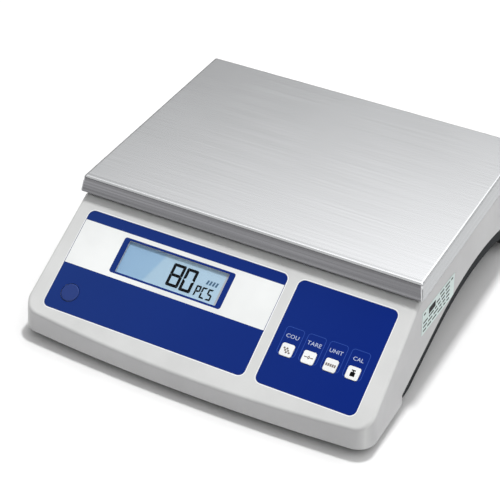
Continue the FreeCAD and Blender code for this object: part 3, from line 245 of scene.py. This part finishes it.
def line_behind_bend(tree, place):
    """A faint darker line along the flat, just behind the front bend."""
    behind = along(tree, place, "Y", PAN_FRONT, PAN_FRONT + 10 * MM)
    faint = (0.42, 0.42, 0.42)
    return ramp(tree, behind, [(0.28, BLACK_TONE), (0.40, faint), (0.52, BLACK_TONE)])


def folded_steel(name, colour, side, dark, low, high):
    """Brushed stainless sheet: grain along X, smudges, and painted reflection on the flanges, which are given
    darker tones than the flat: the side flanges a streaked grey, the front and back flanges a darker streaked
    grey."""
    made, tree, shader, place = new_material(name)
    grain = noise(tree, place, SHEET_GRAIN, 5, DRAWN_X)
    bright = two_tone(tree, grain, colour, 0.05, 0.3, 0.7)
    # Painted reflection: a dark streaked tone for the front and back flanges and a paler streaked one for the
    # side flanges.
    lines = noise(tree, place, SHEET_LINES, 3, LINES_X)
    dim = ramp(tree, lines, [(0.34, shade(dark, -0.22)), (0.5, dark), (0.66, shade(dark, 0.32))])
    flank = noise(tree, place, SHEET_LINES, 3, LINES_Y)
    pale = two_tone(tree, flank, side, 0.08, 0.34, 0.66)
    # Painted reflection, chosen by facing: side flanges take the side tone, front and back flanges the dark
    # tone.
    tone = mix(tree, facing_share(tree, "X", 0.75, 0.95), bright, pale)
    tone = mix(tree, facing_share(tree, "Y", 0.80, 0.95), tone, dim)
    # A faint darker line just behind the front bend, in the side flanges' tone.
    tone = mix(tree, line_behind_bend(tree, place), tone, two_tone(tree, grain, side, 0))
    tree.links.new(tone, shader.inputs["Base Color"])
    smudge = noise(tree, place, SMUDGE, 4)
    tree.links.new(spread(tree, smudge, low, high), shader.inputs["Roughness"])
    shader.inputs["Metallic"].default_value = 1.0
    bump(tree, shader, grain, 0.12, 0.005 * MM)
    return made


def blue_print(name, left, right):
    """Blue ink under polyester film, with a painted reflection: a little paler towards the left of the panel.
    """
    made, tree, shader, place = new_material(name)
    # Painted reflection: the colour goes from the paler left tone to the right tone across the panel.
    across = along(tree, place, "X", -140 * MM, 130 * MM)
    tone = ramp(tree, across, [(0.0, left), (1.0, right)])
    deep = ramp(tree, across, [(0.0, shade(left, -0.12)), (1.0, shade(right, -0.12))])
    cloud = noise(tree, place, INK_CLOUD, 3)
    tree.links.new(mix(tree, cloud, tone, deep), shader.inputs["Base Color"])
    fine = noise(tree, place, PEEL_GRAIN, 1)
    tree.links.new(spread(tree, fine, 0.30, 0.40), shader.inputs["Roughness"])
    shader.inputs["Specular IOR Level"].default_value = 0.10
    bump(tree, shader, fine, 0.12, 0.01 * MM)
    return made


def sheen_film(name, colour, roughness, spec=0.25):
    """Printed polyester film: smooth, with a very fine orange-peel."""
    made, tree, shader, place = new_material(name)
    tone = two_tone(tree, noise(tree, place, INK_CLOUD, 3), colour, 0.08, 0.3, 0.7)
    tree.links.new(tone, shader.inputs["Base Color"])
    fine = noise(tree, place, PEEL_GRAIN, 1)
    tree.links.new(spread(tree, fine, roughness - 0.05, roughness + 0.05), shader.inputs["Roughness"])
    shader.inputs["Specular IOR Level"].default_value = spec
    bump(tree, shader, fine, 0.12, 0.01 * MM)
    return made


def board_mask(name):
    """Green solder mask over faint copper tracks."""
    made, tree, shader, place = new_material(name)
    tracks = noise(tree, place, TRACKS, 0, TRACKS_Y)
    tone = ramp(tree, tracks, [(0.46, (0.012, 0.10, 0.045)), (0.54, (0.03, 0.19, 0.09))])
    tree.links.new(tone, shader.inputs["Base Color"])
    shader.inputs["Roughness"].default_value = 0.35
    bump(tree, shader, tracks, 0.2, 0.03 * MM)
    return made


def crystal_panel(name):
    """Reflective display panel: pale blue, with a painted reflection that lightens it right of a slanting
    line, leaving a darker slanting third at its left.
    """
    made, tree, shader, place = new_material(name)
    split = tree.nodes.new("ShaderNodeSeparateXYZ")
    tree.links.new(place, split.inputs["Vector"])
    slant = tree.nodes.new("ShaderNodeMath")
    slant.operation = "MULTIPLY_ADD"
    slant.inputs[1].default_value = -0.45
    tree.links.new(split.outputs["Y"], slant.inputs[0])
    tree.links.new(split.outputs["X"], slant.inputs[2])
    across = between(tree, slant.outputs["Value"], -52 * MM, 46 * MM)
    shaded = [(0.0, (0.29, 0.47, 0.68)), (0.34, (0.31, 0.50, 0.70))]
    lit = [(0.37, (0.42, 0.60, 0.75)), (1.0, (0.46, 0.64, 0.79))]
    tree.links.new(ramp(tree, across, shaded + lit), shader.inputs["Base Color"])
    fine = noise(tree, place, GLASS_GRAIN, 2)
    tree.links.new(spread(tree, fine, 0.30, 0.42), shader.inputs["Roughness"])
    return made


def clear(name, tint, alpha, roughness):
    """See-through plastic with a trace of haze."""
    made, tree, shader, place = new_material(name)
    haze = noise(tree, place, HAZE, 2)
    tree.links.new(ramp(tree, haze, [(0.3, shade(tint, -0.03)), (0.7, tint)]), shader.inputs["Base Color"])
    shader.inputs["Roughness"].default_value = roughness
    shader.inputs["Alpha"].default_value = alpha
    return made


# ---------------------------------------------------------------- finishes
# The second and third colours are painted shade: darker tones for the side walls and for the front and back
# walls.
WHITE_CASE = case_plastic("white_case", (0.655, 0.66, 0.655), (0.525, 0.525, 0.53),
                          (0.51, 0.51, 0.515))
GREY_BASE = moulded("grey_base", (0.024, 0.026, 0.028), 0.7, grain=1300, depth=0.03, spec=0.06)
# The second and third colours are painted reflection: darker tones for the side flanges and for the front and
# back flanges.
PAN_STEEL = folded_steel("pan_steel", (0.83, 0.84, 0.855), (0.43, 0.44, 0.45), (0.22, 0.22, 0.23),
                         0.21, 0.26)
CAST_ALLOY = brushed("cast_alloy", (0.60, 0.61, 0.62), 0.42, 0.58, (1, 1, 1), 0.5)
ZINC = brushed("zinc_plate", (0.62, 0.63, 0.66), 0.25, 0.4, (1, 1, 0.2))
BRASS = brushed("brass_insert", (0.70, 0.52, 0.24), 0.3, 0.4, (1, 1, 0.2))
GALVANISED = brushed("galvanised_sheet", (0.50, 0.51, 0.53), 0.35, 0.55, (0.3, 1, 1))
RUBBER = moulded("black_rubber", (0.038, 0.038, 0.04), 0.75, grain=900, depth=0.03, spec=0.3)
BLACK = moulded("black_plastic", (0.016, 0.016, 0.018), 0.45)
# The first colour, at the panel's left, is paler: painted reflection.
BLUE_FILM = blue_print("blue_film", (0.011, 0.036, 0.196), (0.002, 0.020, 0.205))
WHITE_INK = sheen_film("white_ink", (0.80, 0.815, 0.81), 0.34)
PALE_INK = sheen_film("pale_blue_ink", (0.025, 0.075, 0.36), 0.34)
CAPTION_INK = sheen_film("caption_ink", (0.50, 0.56, 0.74), 0.4)
BLACK_INK = sheen_film("black_ink", (0.004, 0.004, 0.005), 0.45, 0.05)
# Painted highlight: the white of the lit edge of the step round each film.
PAINTED_RIM_LIGHT = sheen_film("painted_rim_highlight", (0.86, 0.87, 0.89), 0.3)
# Painted light: the pale grey of the window's lit inner wall, laid on the glass.
PAINTED_WALL_LIGHT = sheen_film("painted_wall_light", (0.50, 0.54, 0.58), 0.4)
MARK_INK = sheen_film("mark_ink", (0.075, 0.15, 0.25), 0.5, 0.05)
GREY_INK = sheen_film("grey_ink", (0.035, 0.045, 0.043), 0.5, 0.1)
SYMBOL_INK = sheen_film("symbol_ink", (0.20, 0.17, 0.155), 0.5)
KEY_WHITE = moulded("key_white", (0.86, 0.87, 0.87), 0.35, grain=2400, depth=0.01)
LABEL = sheen_film("label_vinyl", (0.64, 0.74, 0.72), 0.5)
CRYSTAL = crystal_panel("crystal_panel")
WINDOW = clear("window_clear", (0.05, 0.06, 0.07), 0.03, 0.05)
LENS = clear("level_lens_tint", (0.012, 0.038, 0.20), 0.96, 0.16)
GUIDE = moulded("light_guide", (0.80, 0.86, 0.90), 0.3)
SOLDER_MASK = board_mask("solder_mask")
NYLON = moulded("header_nylon", (0.76, 0.74, 0.68), 0.4)
LEVEL_FLUID = moulded("level_cup_blue", (0.012, 0.035, 0.17), 0.25)
RED_LEAD = moulded("lead_red", (0.45, 0.02, 0.02), 0.4)
JACKET = moulded("cable_jacket", (0.03, 0.03, 0.033), 0.45)

FINISH = {
    "stainless_pan": PAN_STEEL, "cast_alloy": CAST_ALLOY, "black_rubber": RUBBER, "zinc_steel": ZINC,
    "brass_insert": BRASS, "chassis_steel": GALVANISED, "white_case": WHITE_CASE,
    "grey_base": GREY_BASE, "printed_film": BLUE_FILM, "clear_window": WINDOW,
    "lcd_surface": CRYSTAL, "backlight_panel": GUIDE, "board_green": SOLDER_MASK,
    "black_plastic": BLACK, "key_white": KEY_WHITE, "level_parts": LEVEL_FLUID,
    "header_white": NYLON, "terminal_tin": ZINC, "label_paper": LABEL, "cable_jacket": JACKET,
    "lead_jacket": RED_LEAD,
}


def dress_frame():
    """Give every CAD node the finish of its slot."""
    for part in frame["record"]["subparts"]:
        node = frame["nodes"][part["node"]]
        finish = LENS if part["node"] == "level_lens" else FINISH[part["material_slot"]]
        node.data.materials.clear()
        node.data.materials.append(finish)


# ---------------------------------------------------------------- flat outlines
def rounded(x, y, wide, high, radius, steps=6):
    """A closed loop: a rectangle centred on (x, y) with round corners."""
    loop = []
    for quarter, (sx, sy) in enumerate(((1, 1), (-1, 1), (-1, -1), (1, -1))):
        cx, cy = x + sx * (wide / 2 - radius), y + sy * (high / 2 - radius)
        for step in range(steps + 1):
            turn = math.pi / 2 * (quarter + step / steps)
            loop.append((cx + radius * math.cos(turn), cy + radius * math.sin(turn)))
    return loop


def disc(x, y, radius, steps):
    """A closed loop: a circle centred on (x, y)."""
    turns = [2 * math.pi * step / steps for step in range(steps)]
    return [(x + radius * math.cos(turn), y + radius * math.sin(turn)) for turn in turns]


def flat_piece(name, loops, thickness, place, finish, body):
    """A thin plate cut from closed loops (inner loops are holes), laid on a plane."""
    curve = bpy.data.curves.new(name, "CURVE")
    curve.dimensions = "2D"
    curve.fill_mode = "BOTH"
    curve.extrude = thickness / 2
    for loop in loops:
        spline = curve.splines.new("POLY")
        spline.points.add(len(loop) - 1)
        for point, (x, y) in zip(spline.points, loop):
            point.co = (x * MM, y * MM, 0, 1)
        spline.use_cyclic_u = True
    return from_curve(name, curve, place @ Matrix.Translation((0, 0, thickness / 2)), finish, body)


def word_piece(name, word, x, y, wide, high, place, finish, body):
    """A plain word as a thin plate, centred on (x, y) and fitted to a width and a height."""
    curve = bpy.data.curves.new(name, "FONT")
    curve.body = word
    curve.resolution_u = 3
    drawn = bpy.data.objects.new(name + "_size", curve)
    bpy.context.scene.collection.objects.link(drawn)
    bpy.context.view_layer.update()
    near, far = Vector(drawn.bound_box[0]), Vector(drawn.bound_box[6])
    bpy.data.objects.remove(drawn)
    middle, extent = (near + far) / 2, far - near
    curve.extrude = INK / 2 / MM
    fit = Matrix.Diagonal((wide / extent.x * MM, high / extent.y * MM, MM, 1))
    spot = Matrix.Translation((x * MM, y * MM, INK / 2))
    centred = Matrix.Translation((-middle.x, -middle.y, 0))
    return from_curve(name, curve, place @ spot @ fit @ centred, finish, body)


def from_curve(name, curve, place, finish, body):
    """Turn a filled curve into a piece that lies where place puts it."""
    drawn = bpy.data.objects.new(name + "_curve", curve)
    bpy.context.scene.collection.objects.link(drawn)
    bpy.context.view_layer.update()
    mesh = bpy.data.meshes.new_from_object(drawn)
    bpy.data.objects.remove(drawn)
    bpy.data.curves.remove(curve)
    mesh.name = name
    mesh.transform(place)
    mesh.materials.clear()
    mesh.materials.append(finish)
    made = bpy.data.objects.new(name, mesh)
    bpy.context.scene.collection.objects.link(made)
    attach(made, body)
    return made


def on_panel(level):
    """The panel's plane, raised by a level in metres."""
    return PANEL @ Matrix.Translation((0, 0, level))


# ---------------------------------------------------------------- display film
# Places and sizes on the panel, in millimetres.
FILM_X, FILM_WIDE, FILM_Y, FILM_HIGH, FILM_CORNER = -46.7, 182.4, -56.8, 90.0, 5.5
KEYPAD_X, KEYPAD_WIDE = 95.8, 84.0
RIM_WIDE, RIM_HIGH = 0.7, 0.9
STRIPE_TOP, STRIPE_FOOT, STRIPE_INSET, STRIPE_CORNER = -21.3, -61.4, 0.45, 0.3
LCD_X, LCD_Y, LCD_WIDE, LCD_HIGH = -47.2, -41.2, 91.7, 28.7
BEZEL_SIDE, BEZEL_END, BEZEL_CORNER = 4.9, 1.8, 2.2


def make_rim_highlights():
    """A painted highlight: a flat white ring for the bright edge of the shallow step that each film lies in.
    """
    for side, x, wide in (("left", FILM_X, FILM_WIDE), ("right", KEYPAD_X, KEYPAD_WIDE)):
        outer = rounded(x, FILM_Y, wide + 2 * RIM_WIDE, FILM_HIGH + 2 * RIM_HIGH, FILM_CORNER + 0.8)
        inner = rounded(x, FILM_Y, wide, FILM_HIGH, FILM_CORNER)
        flat_piece(f"film_rim_{side}", [outer, inner], INK / 2, on_panel(0), PAINTED_RIM_LIGHT, "case")


def make_band():
    """The white stripe across the display film, with a blue bezel left round the window."""
    stripe = rounded(FILM_X, (STRIPE_TOP + STRIPE_FOOT) / 2, FILM_WIDE - 2 * STRIPE_INSET,
                     STRIPE_TOP - STRIPE_FOOT, STRIPE_CORNER, 2)
    bezel = rounded(LCD_X, LCD_Y, LCD_WIDE + 2 * BEZEL_SIDE, LCD_HIGH + 2 * BEZEL_END, BEZEL_CORNER)
    flat_piece("display_stripe", [stripe, bezel], INK, on_panel(FILM_TOP), WHITE_INK,
               "case")


# ---------------------------------------------------------------- digits
SEGMENTS = {"8": "abcdefg", "0": "abcdef", "P": "abefg", "C": "adef", "S": "acdfg"}
HAIRLINE = 0.06

# Name, character, lower left corner, width, height and bar width.
DIGITS = (("digit_tens", "8", -49.5, -51.6, 11.2, 19.9, 2.45),
          ("digit_units", "0", -37.2, -52.3, 10.3, 20.2, 2.45))
UNIT_X, UNIT_Y, UNIT_PITCH, UNIT_WIDE, UNIT_HIGH, UNIT_BAR = -23.8, -52.9, 5.4, 4.6, 9.8, 1.4

EDGE_LEFT, EDGE_RIGHT, EDGE_FOOT, EDGE_TOP = -4.0, -1.6, -55.2, -27.2
MARK_X, MARK_PITCH, MARK_FOOT, MARK_TOP = -16.6, 2.7, -40.4, -36.6
MARK_LEFT, MARK_RIGHT, LEFT_LEAN, RIGHT_LEAN = -1.1, 0.6, 0.9, 0.7


def digit_loops(x, y, wide, high, bar, lit):
    """Seven-segment character with its lower left corner at (x, y): mitred corners with the outer
    tips cut off, a hairline between segments."""
    cut, half, mid = bar * 0.28, bar / 2, high / 2
    step_along, step_in = cut * 0.4, cut * 0.6

    def flat_bar(edge, inward):
        """Top or foot bar, with its outer edge at a height."""
        left = [(bar, edge + inward * bar), (HAIRLINE + step_along, edge + inward * step_in),
                (cut + HAIRLINE, edge)]
        return left + [(wide - px, py) for px, py in reversed(left)]

    def upright(edge, inward, start, end):
        """Side bar from its mitred end, start, to its pointed end, end, at half height."""
        way = 1 if end > start else -1
        mitred = [(cut * 0.6, HAIRLINE + cut * 0.8), (0, cut + HAIRLINE)]
        loop = [(edge + inward * deep, start + way * far) for deep, far in mitred]
        pointed = [(0, HAIRLINE + half * 0.15), (half * 0.6, HAIRLINE), (bar, HAIRLINE + half)]
        loop += [(edge + inward * deep, end - way * far) for deep, far in pointed]
        return loop + [(edge + inward * bar, start + way * (bar + HAIRLINE))]

    tip, shoulder = half * 0.7 + HAIRLINE, bar + HAIRLINE
    middle_bar = [(tip, mid), (shoulder, mid + half), (wide - shoulder, mid + half),
                  (wide - tip, mid), (wide - shoulder, mid - half), (shoulder, mid - half)]
    shapes = {
        "a": flat_bar(high, -1), "d": flat_bar(0, 1), "g": middle_bar,
        "b": upright(wide, -1, high, mid), "c": upright(wide, -1, 0, mid),
        "e": upright(0, 1, 0, mid), "f": upright(0, 1, high, mid),
    }
    return [[(x + px, y + py) for px, py in shapes[letter]] for letter in lit]


def make_digits():
    """The count, its unit, a row of charge marks and, as painted light, a pale strip for the lit inner wall
    of the window, on the glass.
    """
    level = on_panel(GLASS_TOP + GLASS_GAP)
    units = tuple((f"unit_{i}", mark, UNIT_X + i * UNIT_PITCH, UNIT_Y, UNIT_WIDE, UNIT_HIGH, UNIT_BAR)
                  for i, mark in enumerate("PCS"))
    for name, mark, x, y, wide, high, bar in DIGITS + units:
        for index, loop in enumerate(digit_loops(x, y, wide, high, bar, SEGMENTS[mark])):
            flat_piece(f"{name}_{index}", [loop], INK, level, BLACK_INK, "case")
    # Painted light: a pale strip at the right end of the glass for the lit inner wall of the window.
    edge = [(EDGE_LEFT, EDGE_FOOT), (EDGE_RIGHT, EDGE_FOOT),
            (EDGE_RIGHT, EDGE_TOP), (EDGE_LEFT, EDGE_TOP)]
    flat_piece("glass_edge", [edge], INK, level, PAINTED_WALL_LIGHT, "case")
    for index in range(4):
        left, right = (MARK_X + index * MARK_PITCH + side for side in (MARK_LEFT, MARK_RIGHT))
        cell = [(left, MARK_FOOT), (right, MARK_FOOT),
                (right + RIGHT_LEAN, MARK_TOP), (left + LEFT_LEAN, MARK_TOP)]
        flat_piece(f"charge_mark_{index}", [cell], INK, level, MARK_INK, "case")


# ---------------------------------------------------------------- keypad print
KEY_NAMES = ("count", "tare", "unit", "calibrate")
KEY_FIRST, KEY_PITCH, KEY_Y = 68.1, 18.4, -70.0
OUTLINE_RISE, OUTLINE_WIDE, OUTLINE_HIGH, OUTLINE_CORNER, OUTLINE_LINE = 7.2, 15.4, 23.4, 2.6, 0.4
CAPTIONS = {"count": ("COU", 10.6), "tare": ("TARE", 11.8), "unit": ("UNIT", 11.0), "calibrate": ("CAL", 8.6)}
CAPTION_SHIFT, CAPTION_RISE, CAPTION_HIGH = -0.2, 11.5, 3.1

# Symbols of the keys, measured from the middle of the key.
DOTS = ((-2.4, 1.2), (0, 1.2), (-1.2, -0.4), (1.2, -0.4), (0, -2.0), (2.4, -2.0))
DOT_RADIUS, DOT_STEPS = 0.85, 12
ARROW_X, ARROW_WIDE, ARROW_HIGH = 2.6, 2.2, 0.8
BLOCKS_WIDE, BLOCKS_HIGH, BLOCKS, BLOCK_GAP = 8.4, 2.3, 5, 0.45
WEIGHT_HALF = ((1.9, -2.8), (1.9, 0.6), (0.5, 0.9), (0.5, 1.6), (1.6, 1.7), (1.6, 2.6))
PRINT_CORNER = 0.2


def strokes(x, y, wide, high, count, gap):
    """A row of small blocks that stands for a word."""
    block = (wide - gap * (count - 1)) / count
    first = x - wide / 2 + block / 2
    return [rounded(first + i * (block + gap), y, block, high, 0.25, 2) for i in range(count)]


def diamond(x, y, half_wide, half_high):
    """A closed loop: a diamond centred on (x, y)."""
    return [(x, y + half_high), (x + half_wide, y), (x, y - half_high), (x - half_wide, y)]


def key_symbol(name, x, y):
    """Generic pictogram of each key, as loops."""
    if name == "count":
        return [disc(x + dx, y + dy, DOT_RADIUS, DOT_STEPS) for dx, dy in DOTS]
    if name == "tare":
        bars = [rounded(x + side * ARROW_X, y, ARROW_WIDE, ARROW_HIGH, PRINT_CORNER, 2) for side in (-1, 1)]
        return [diamond(x, y, 1.3, 1.6), diamond(x, y, 0.45, 0.6)] + bars
    if name == "unit":
        return strokes(x, y, BLOCKS_WIDE, BLOCKS_HIGH, BLOCKS, BLOCK_GAP)
    right = [(x + dx, y + dy) for dx, dy in WEIGHT_HALF]
    left = [(x - dx, y + dy) for dx, dy in reversed(WEIGHT_HALF)]
    return [right + left]


def make_keypad_print():
    """Outline, caption and symbol of each key."""
    film = on_panel(FILM_TOP)
    for index, name in enumerate(KEY_NAMES):
        x, middle = KEY_FIRST + index * KEY_PITCH, KEY_Y + OUTLINE_RISE
        outer = rounded(x, middle, OUTLINE_WIDE, OUTLINE_HIGH, OUTLINE_CORNER)
        inner = rounded(x, middle, OUTLINE_WIDE - 2 * OUTLINE_LINE, OUTLINE_HIGH - 2 * OUTLINE_LINE,
                        OUTLINE_CORNER - OUTLINE_LINE)
        flat_piece(f"key_outline_{name}", [outer, inner], INK, film, PALE_INK, "case")
        caption, wide = CAPTIONS[name]
        word_piece(f"key_caption_{name}", caption, x + CAPTION_SHIFT, KEY_Y + CAPTION_RISE, wide,
                   CAPTION_HIGH, film, CAPTION_INK, "case")
        finish = BLACK_INK if name == "calibrate" else SYMBOL_INK
        flat_piece(f"key_symbol_{name}", key_symbol(name, x, KEY_Y), INK, on_panel(KEY_TOP), finish,
                   f"{name}_key")


# ---------------------------------------------------------------- rating label
LABEL_TURN = math.radians(-3.5)
LABEL_LIFT = 0.13 * MM

# Places and sizes on the label, in millimetres from its middle.
LINE_HALF, LINE_TOP, LINE_PITCH, LINE_HIGH, LINE_COUNT = 30.5, 7.7, 3.8, 1.5, 5
WORD_SHORTEST, WORD_STEP, WORD_GAP, MOST_WORDS = 4.2, 1.1, 2.4, 8
BLOCK_X, BLOCK_Y, BLOCK_WIDE, BLOCK_HIGH = -13.2, 5.2, 13.4, 5.6
CLEAR_LEFT, CLEAR_RIGHT, CLEAR_LINES = -22, -5, 2


def label_words(line):
    """Bars that stand for the words of one line, with the block's place left clear."""
    y, x, words = LINE_TOP - line * LINE_PITCH, -LINE_HALF, []
    for word in range(MOST_WORDS):
        length = WORD_SHORTEST + (line * 5 + word * 7) % 6 * WORD_STEP
        in_block = line < CLEAR_LINES and CLEAR_LEFT < x + length and x < CLEAR_RIGHT
        if x + length > LINE_HALF:
            break
        if not in_block:
            words.append(rounded(x + length / 2, y, length, LINE_HIGH, 0.3, 2))
        x += length + WORD_GAP
    return words


def make_label_print():
    """Rows of plain bars and one dark block on the label of the right flank."""
    low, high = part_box("rating_label")
    lean = Matrix.Rotation(-DRAFT, 4, "Y") @ Matrix.Rotation(LABEL_TURN, 4, "X")
    upright = Matrix(((0, 0, 1, 0), (1, 0, 0, 0), (0, 1, 0, 0), (0, 0, 0, 1)))
    lift = Matrix.Translation((0, 0, LABEL_LIFT))
    face = Matrix.Translation((low + high) / 2) @ lean @ upright @ lift
    rows = [bar for line in range(LINE_COUNT) for bar in label_words(line)]
    flat_piece("label_lines", rows, INK, face, GREY_INK, "case")
    block = [rounded(BLOCK_X, BLOCK_Y, BLOCK_WIDE, BLOCK_HIGH, 0.4, 2)]
    flat_piece("label_block", block, INK, face, BLACK_INK, "case")


# ---------------------------------------------------------------- studio
FLOOR_HALF, FLOOR_DROP = 4.0, 0.2 * MM
SKY_STRENGTH = 1.95
SKY_BY_HEIGHT = ((0.0, 0.32), (0.30, 0.32), (0.42, 0.08), (0.50, 0.22), (0.67, 1.0), (0.78, 1.0), (1.0, 0.5))

# Axis, where the light is least, where it is full, its least share, and the grey it falls towards.
SKY_DIMMERS = (("X", -0.65, -0.10, 0.42, 0), ("Y", -0.10, 0.55, 0.34, 0.13))

# Place, aim, side and power of the two lamps.
KEY_LIGHT = ((0.02, 0.27, 1.55), (0, -0.08, 0.08), 0.13, 15.5)
SIDE_LIGHT = ((1.6, 0.3, 1.0), (0, 0, 0.05), 1.0, 1.5)


def grey(tone):
    """A tone as a colour."""
    return (tone, tone, tone)


def make_floor():
    """A pale floor just below the feet."""
    mesh = bpy.data.meshes.new("floor")
    corners = [(x * FLOOR_HALF, y * FLOOR_HALF, 0) for x, y in ((-1, -1), (1, -1), (1, 1), (-1, 1))]
    mesh.from_pydata(corners, [], [(0, 1, 2, 3)])
    floor = bpy.data.objects.new("floor", mesh)
    bpy.context.scene.collection.objects.link(floor)
    floor.location.z = -FLOOR_DROP
    floor.data.materials.append(moulded("floor_paint", grey(0.88), 0.7, grain=200, mottle=0.01))


def make_sky():
    """Light from all around: most from above the horizon, less from the left and from the front."""
    world = bpy.data.worlds.new("studio")
    bpy.context.scene.world = world
    world.use_nodes = True
    tree = world.node_tree
    way = tree.nodes.new("ShaderNodeSeparateXYZ")
    tree.links.new(tree.nodes.new("ShaderNodeTexCoord").outputs["Generated"], way.inputs["Vector"])
    light = ramp(tree, way.outputs["Z"], [(place, grey(tone)) for place, tone in SKY_BY_HEIGHT])
    for axis, start, end, least, dusk in SKY_DIMMERS:
        side = tree.nodes.new("ShaderNodeMapRange")
        for socket, value in (("From Min", start), ("From Max", end), ("To Min", least), ("To Max", 1.0)):
            side.inputs[socket].default_value = value
        tree.links.new(way.outputs[axis], side.inputs["Value"])
        dimmer = tree.nodes.new("ShaderNodeMix")
        dimmer.data_type = "RGBA"
        dimmer.inputs["A"].default_value = (*grey(dusk), 1)
        tree.links.new(side.outputs["Result"], dimmer.inputs["Factor"])
        tree.links.new(light, dimmer.inputs["B"])
        light = dimmer.outputs["Result"]
    sky = tree.nodes["Background"]
    tree.links.new(light, sky.inputs["Color"])
    sky.inputs["Strength"].default_value = SKY_STRENGTH


def softbox(name, at, aim, side, power):
    """A square lamp at one place that shines towards another."""
    light = bpy.data.lights.new(name, "AREA")
    light.shape = "RECTANGLE"
    light.size, light.size_y = side, side
    light.energy = power
    lamp = bpy.data.objects.new(name, light)
    bpy.context.scene.collection.objects.link(lamp)
    lamp.location = at
    lamp.rotation_euler = (Vector(aim) - Vector(at)).to_track_quat("-Z", "Y").to_euler()
    return lamp


def make_studio():
    """Floor, sky and two lamps; the one above leaves no glare in the steel."""
    make_floor()
    make_sky()
    key = softbox("key_light", *KEY_LIGHT)
    key.visible_glossy = False
    softbox("side_light", *SIDE_LIGHT)
    bpy.context.scene.view_settings.view_transform = "Standard"


make_camera()
dress_frame()
make_rim_highlights()
make_band()
make_digits()
make_keypad_print()
make_label_print()
make_studio()
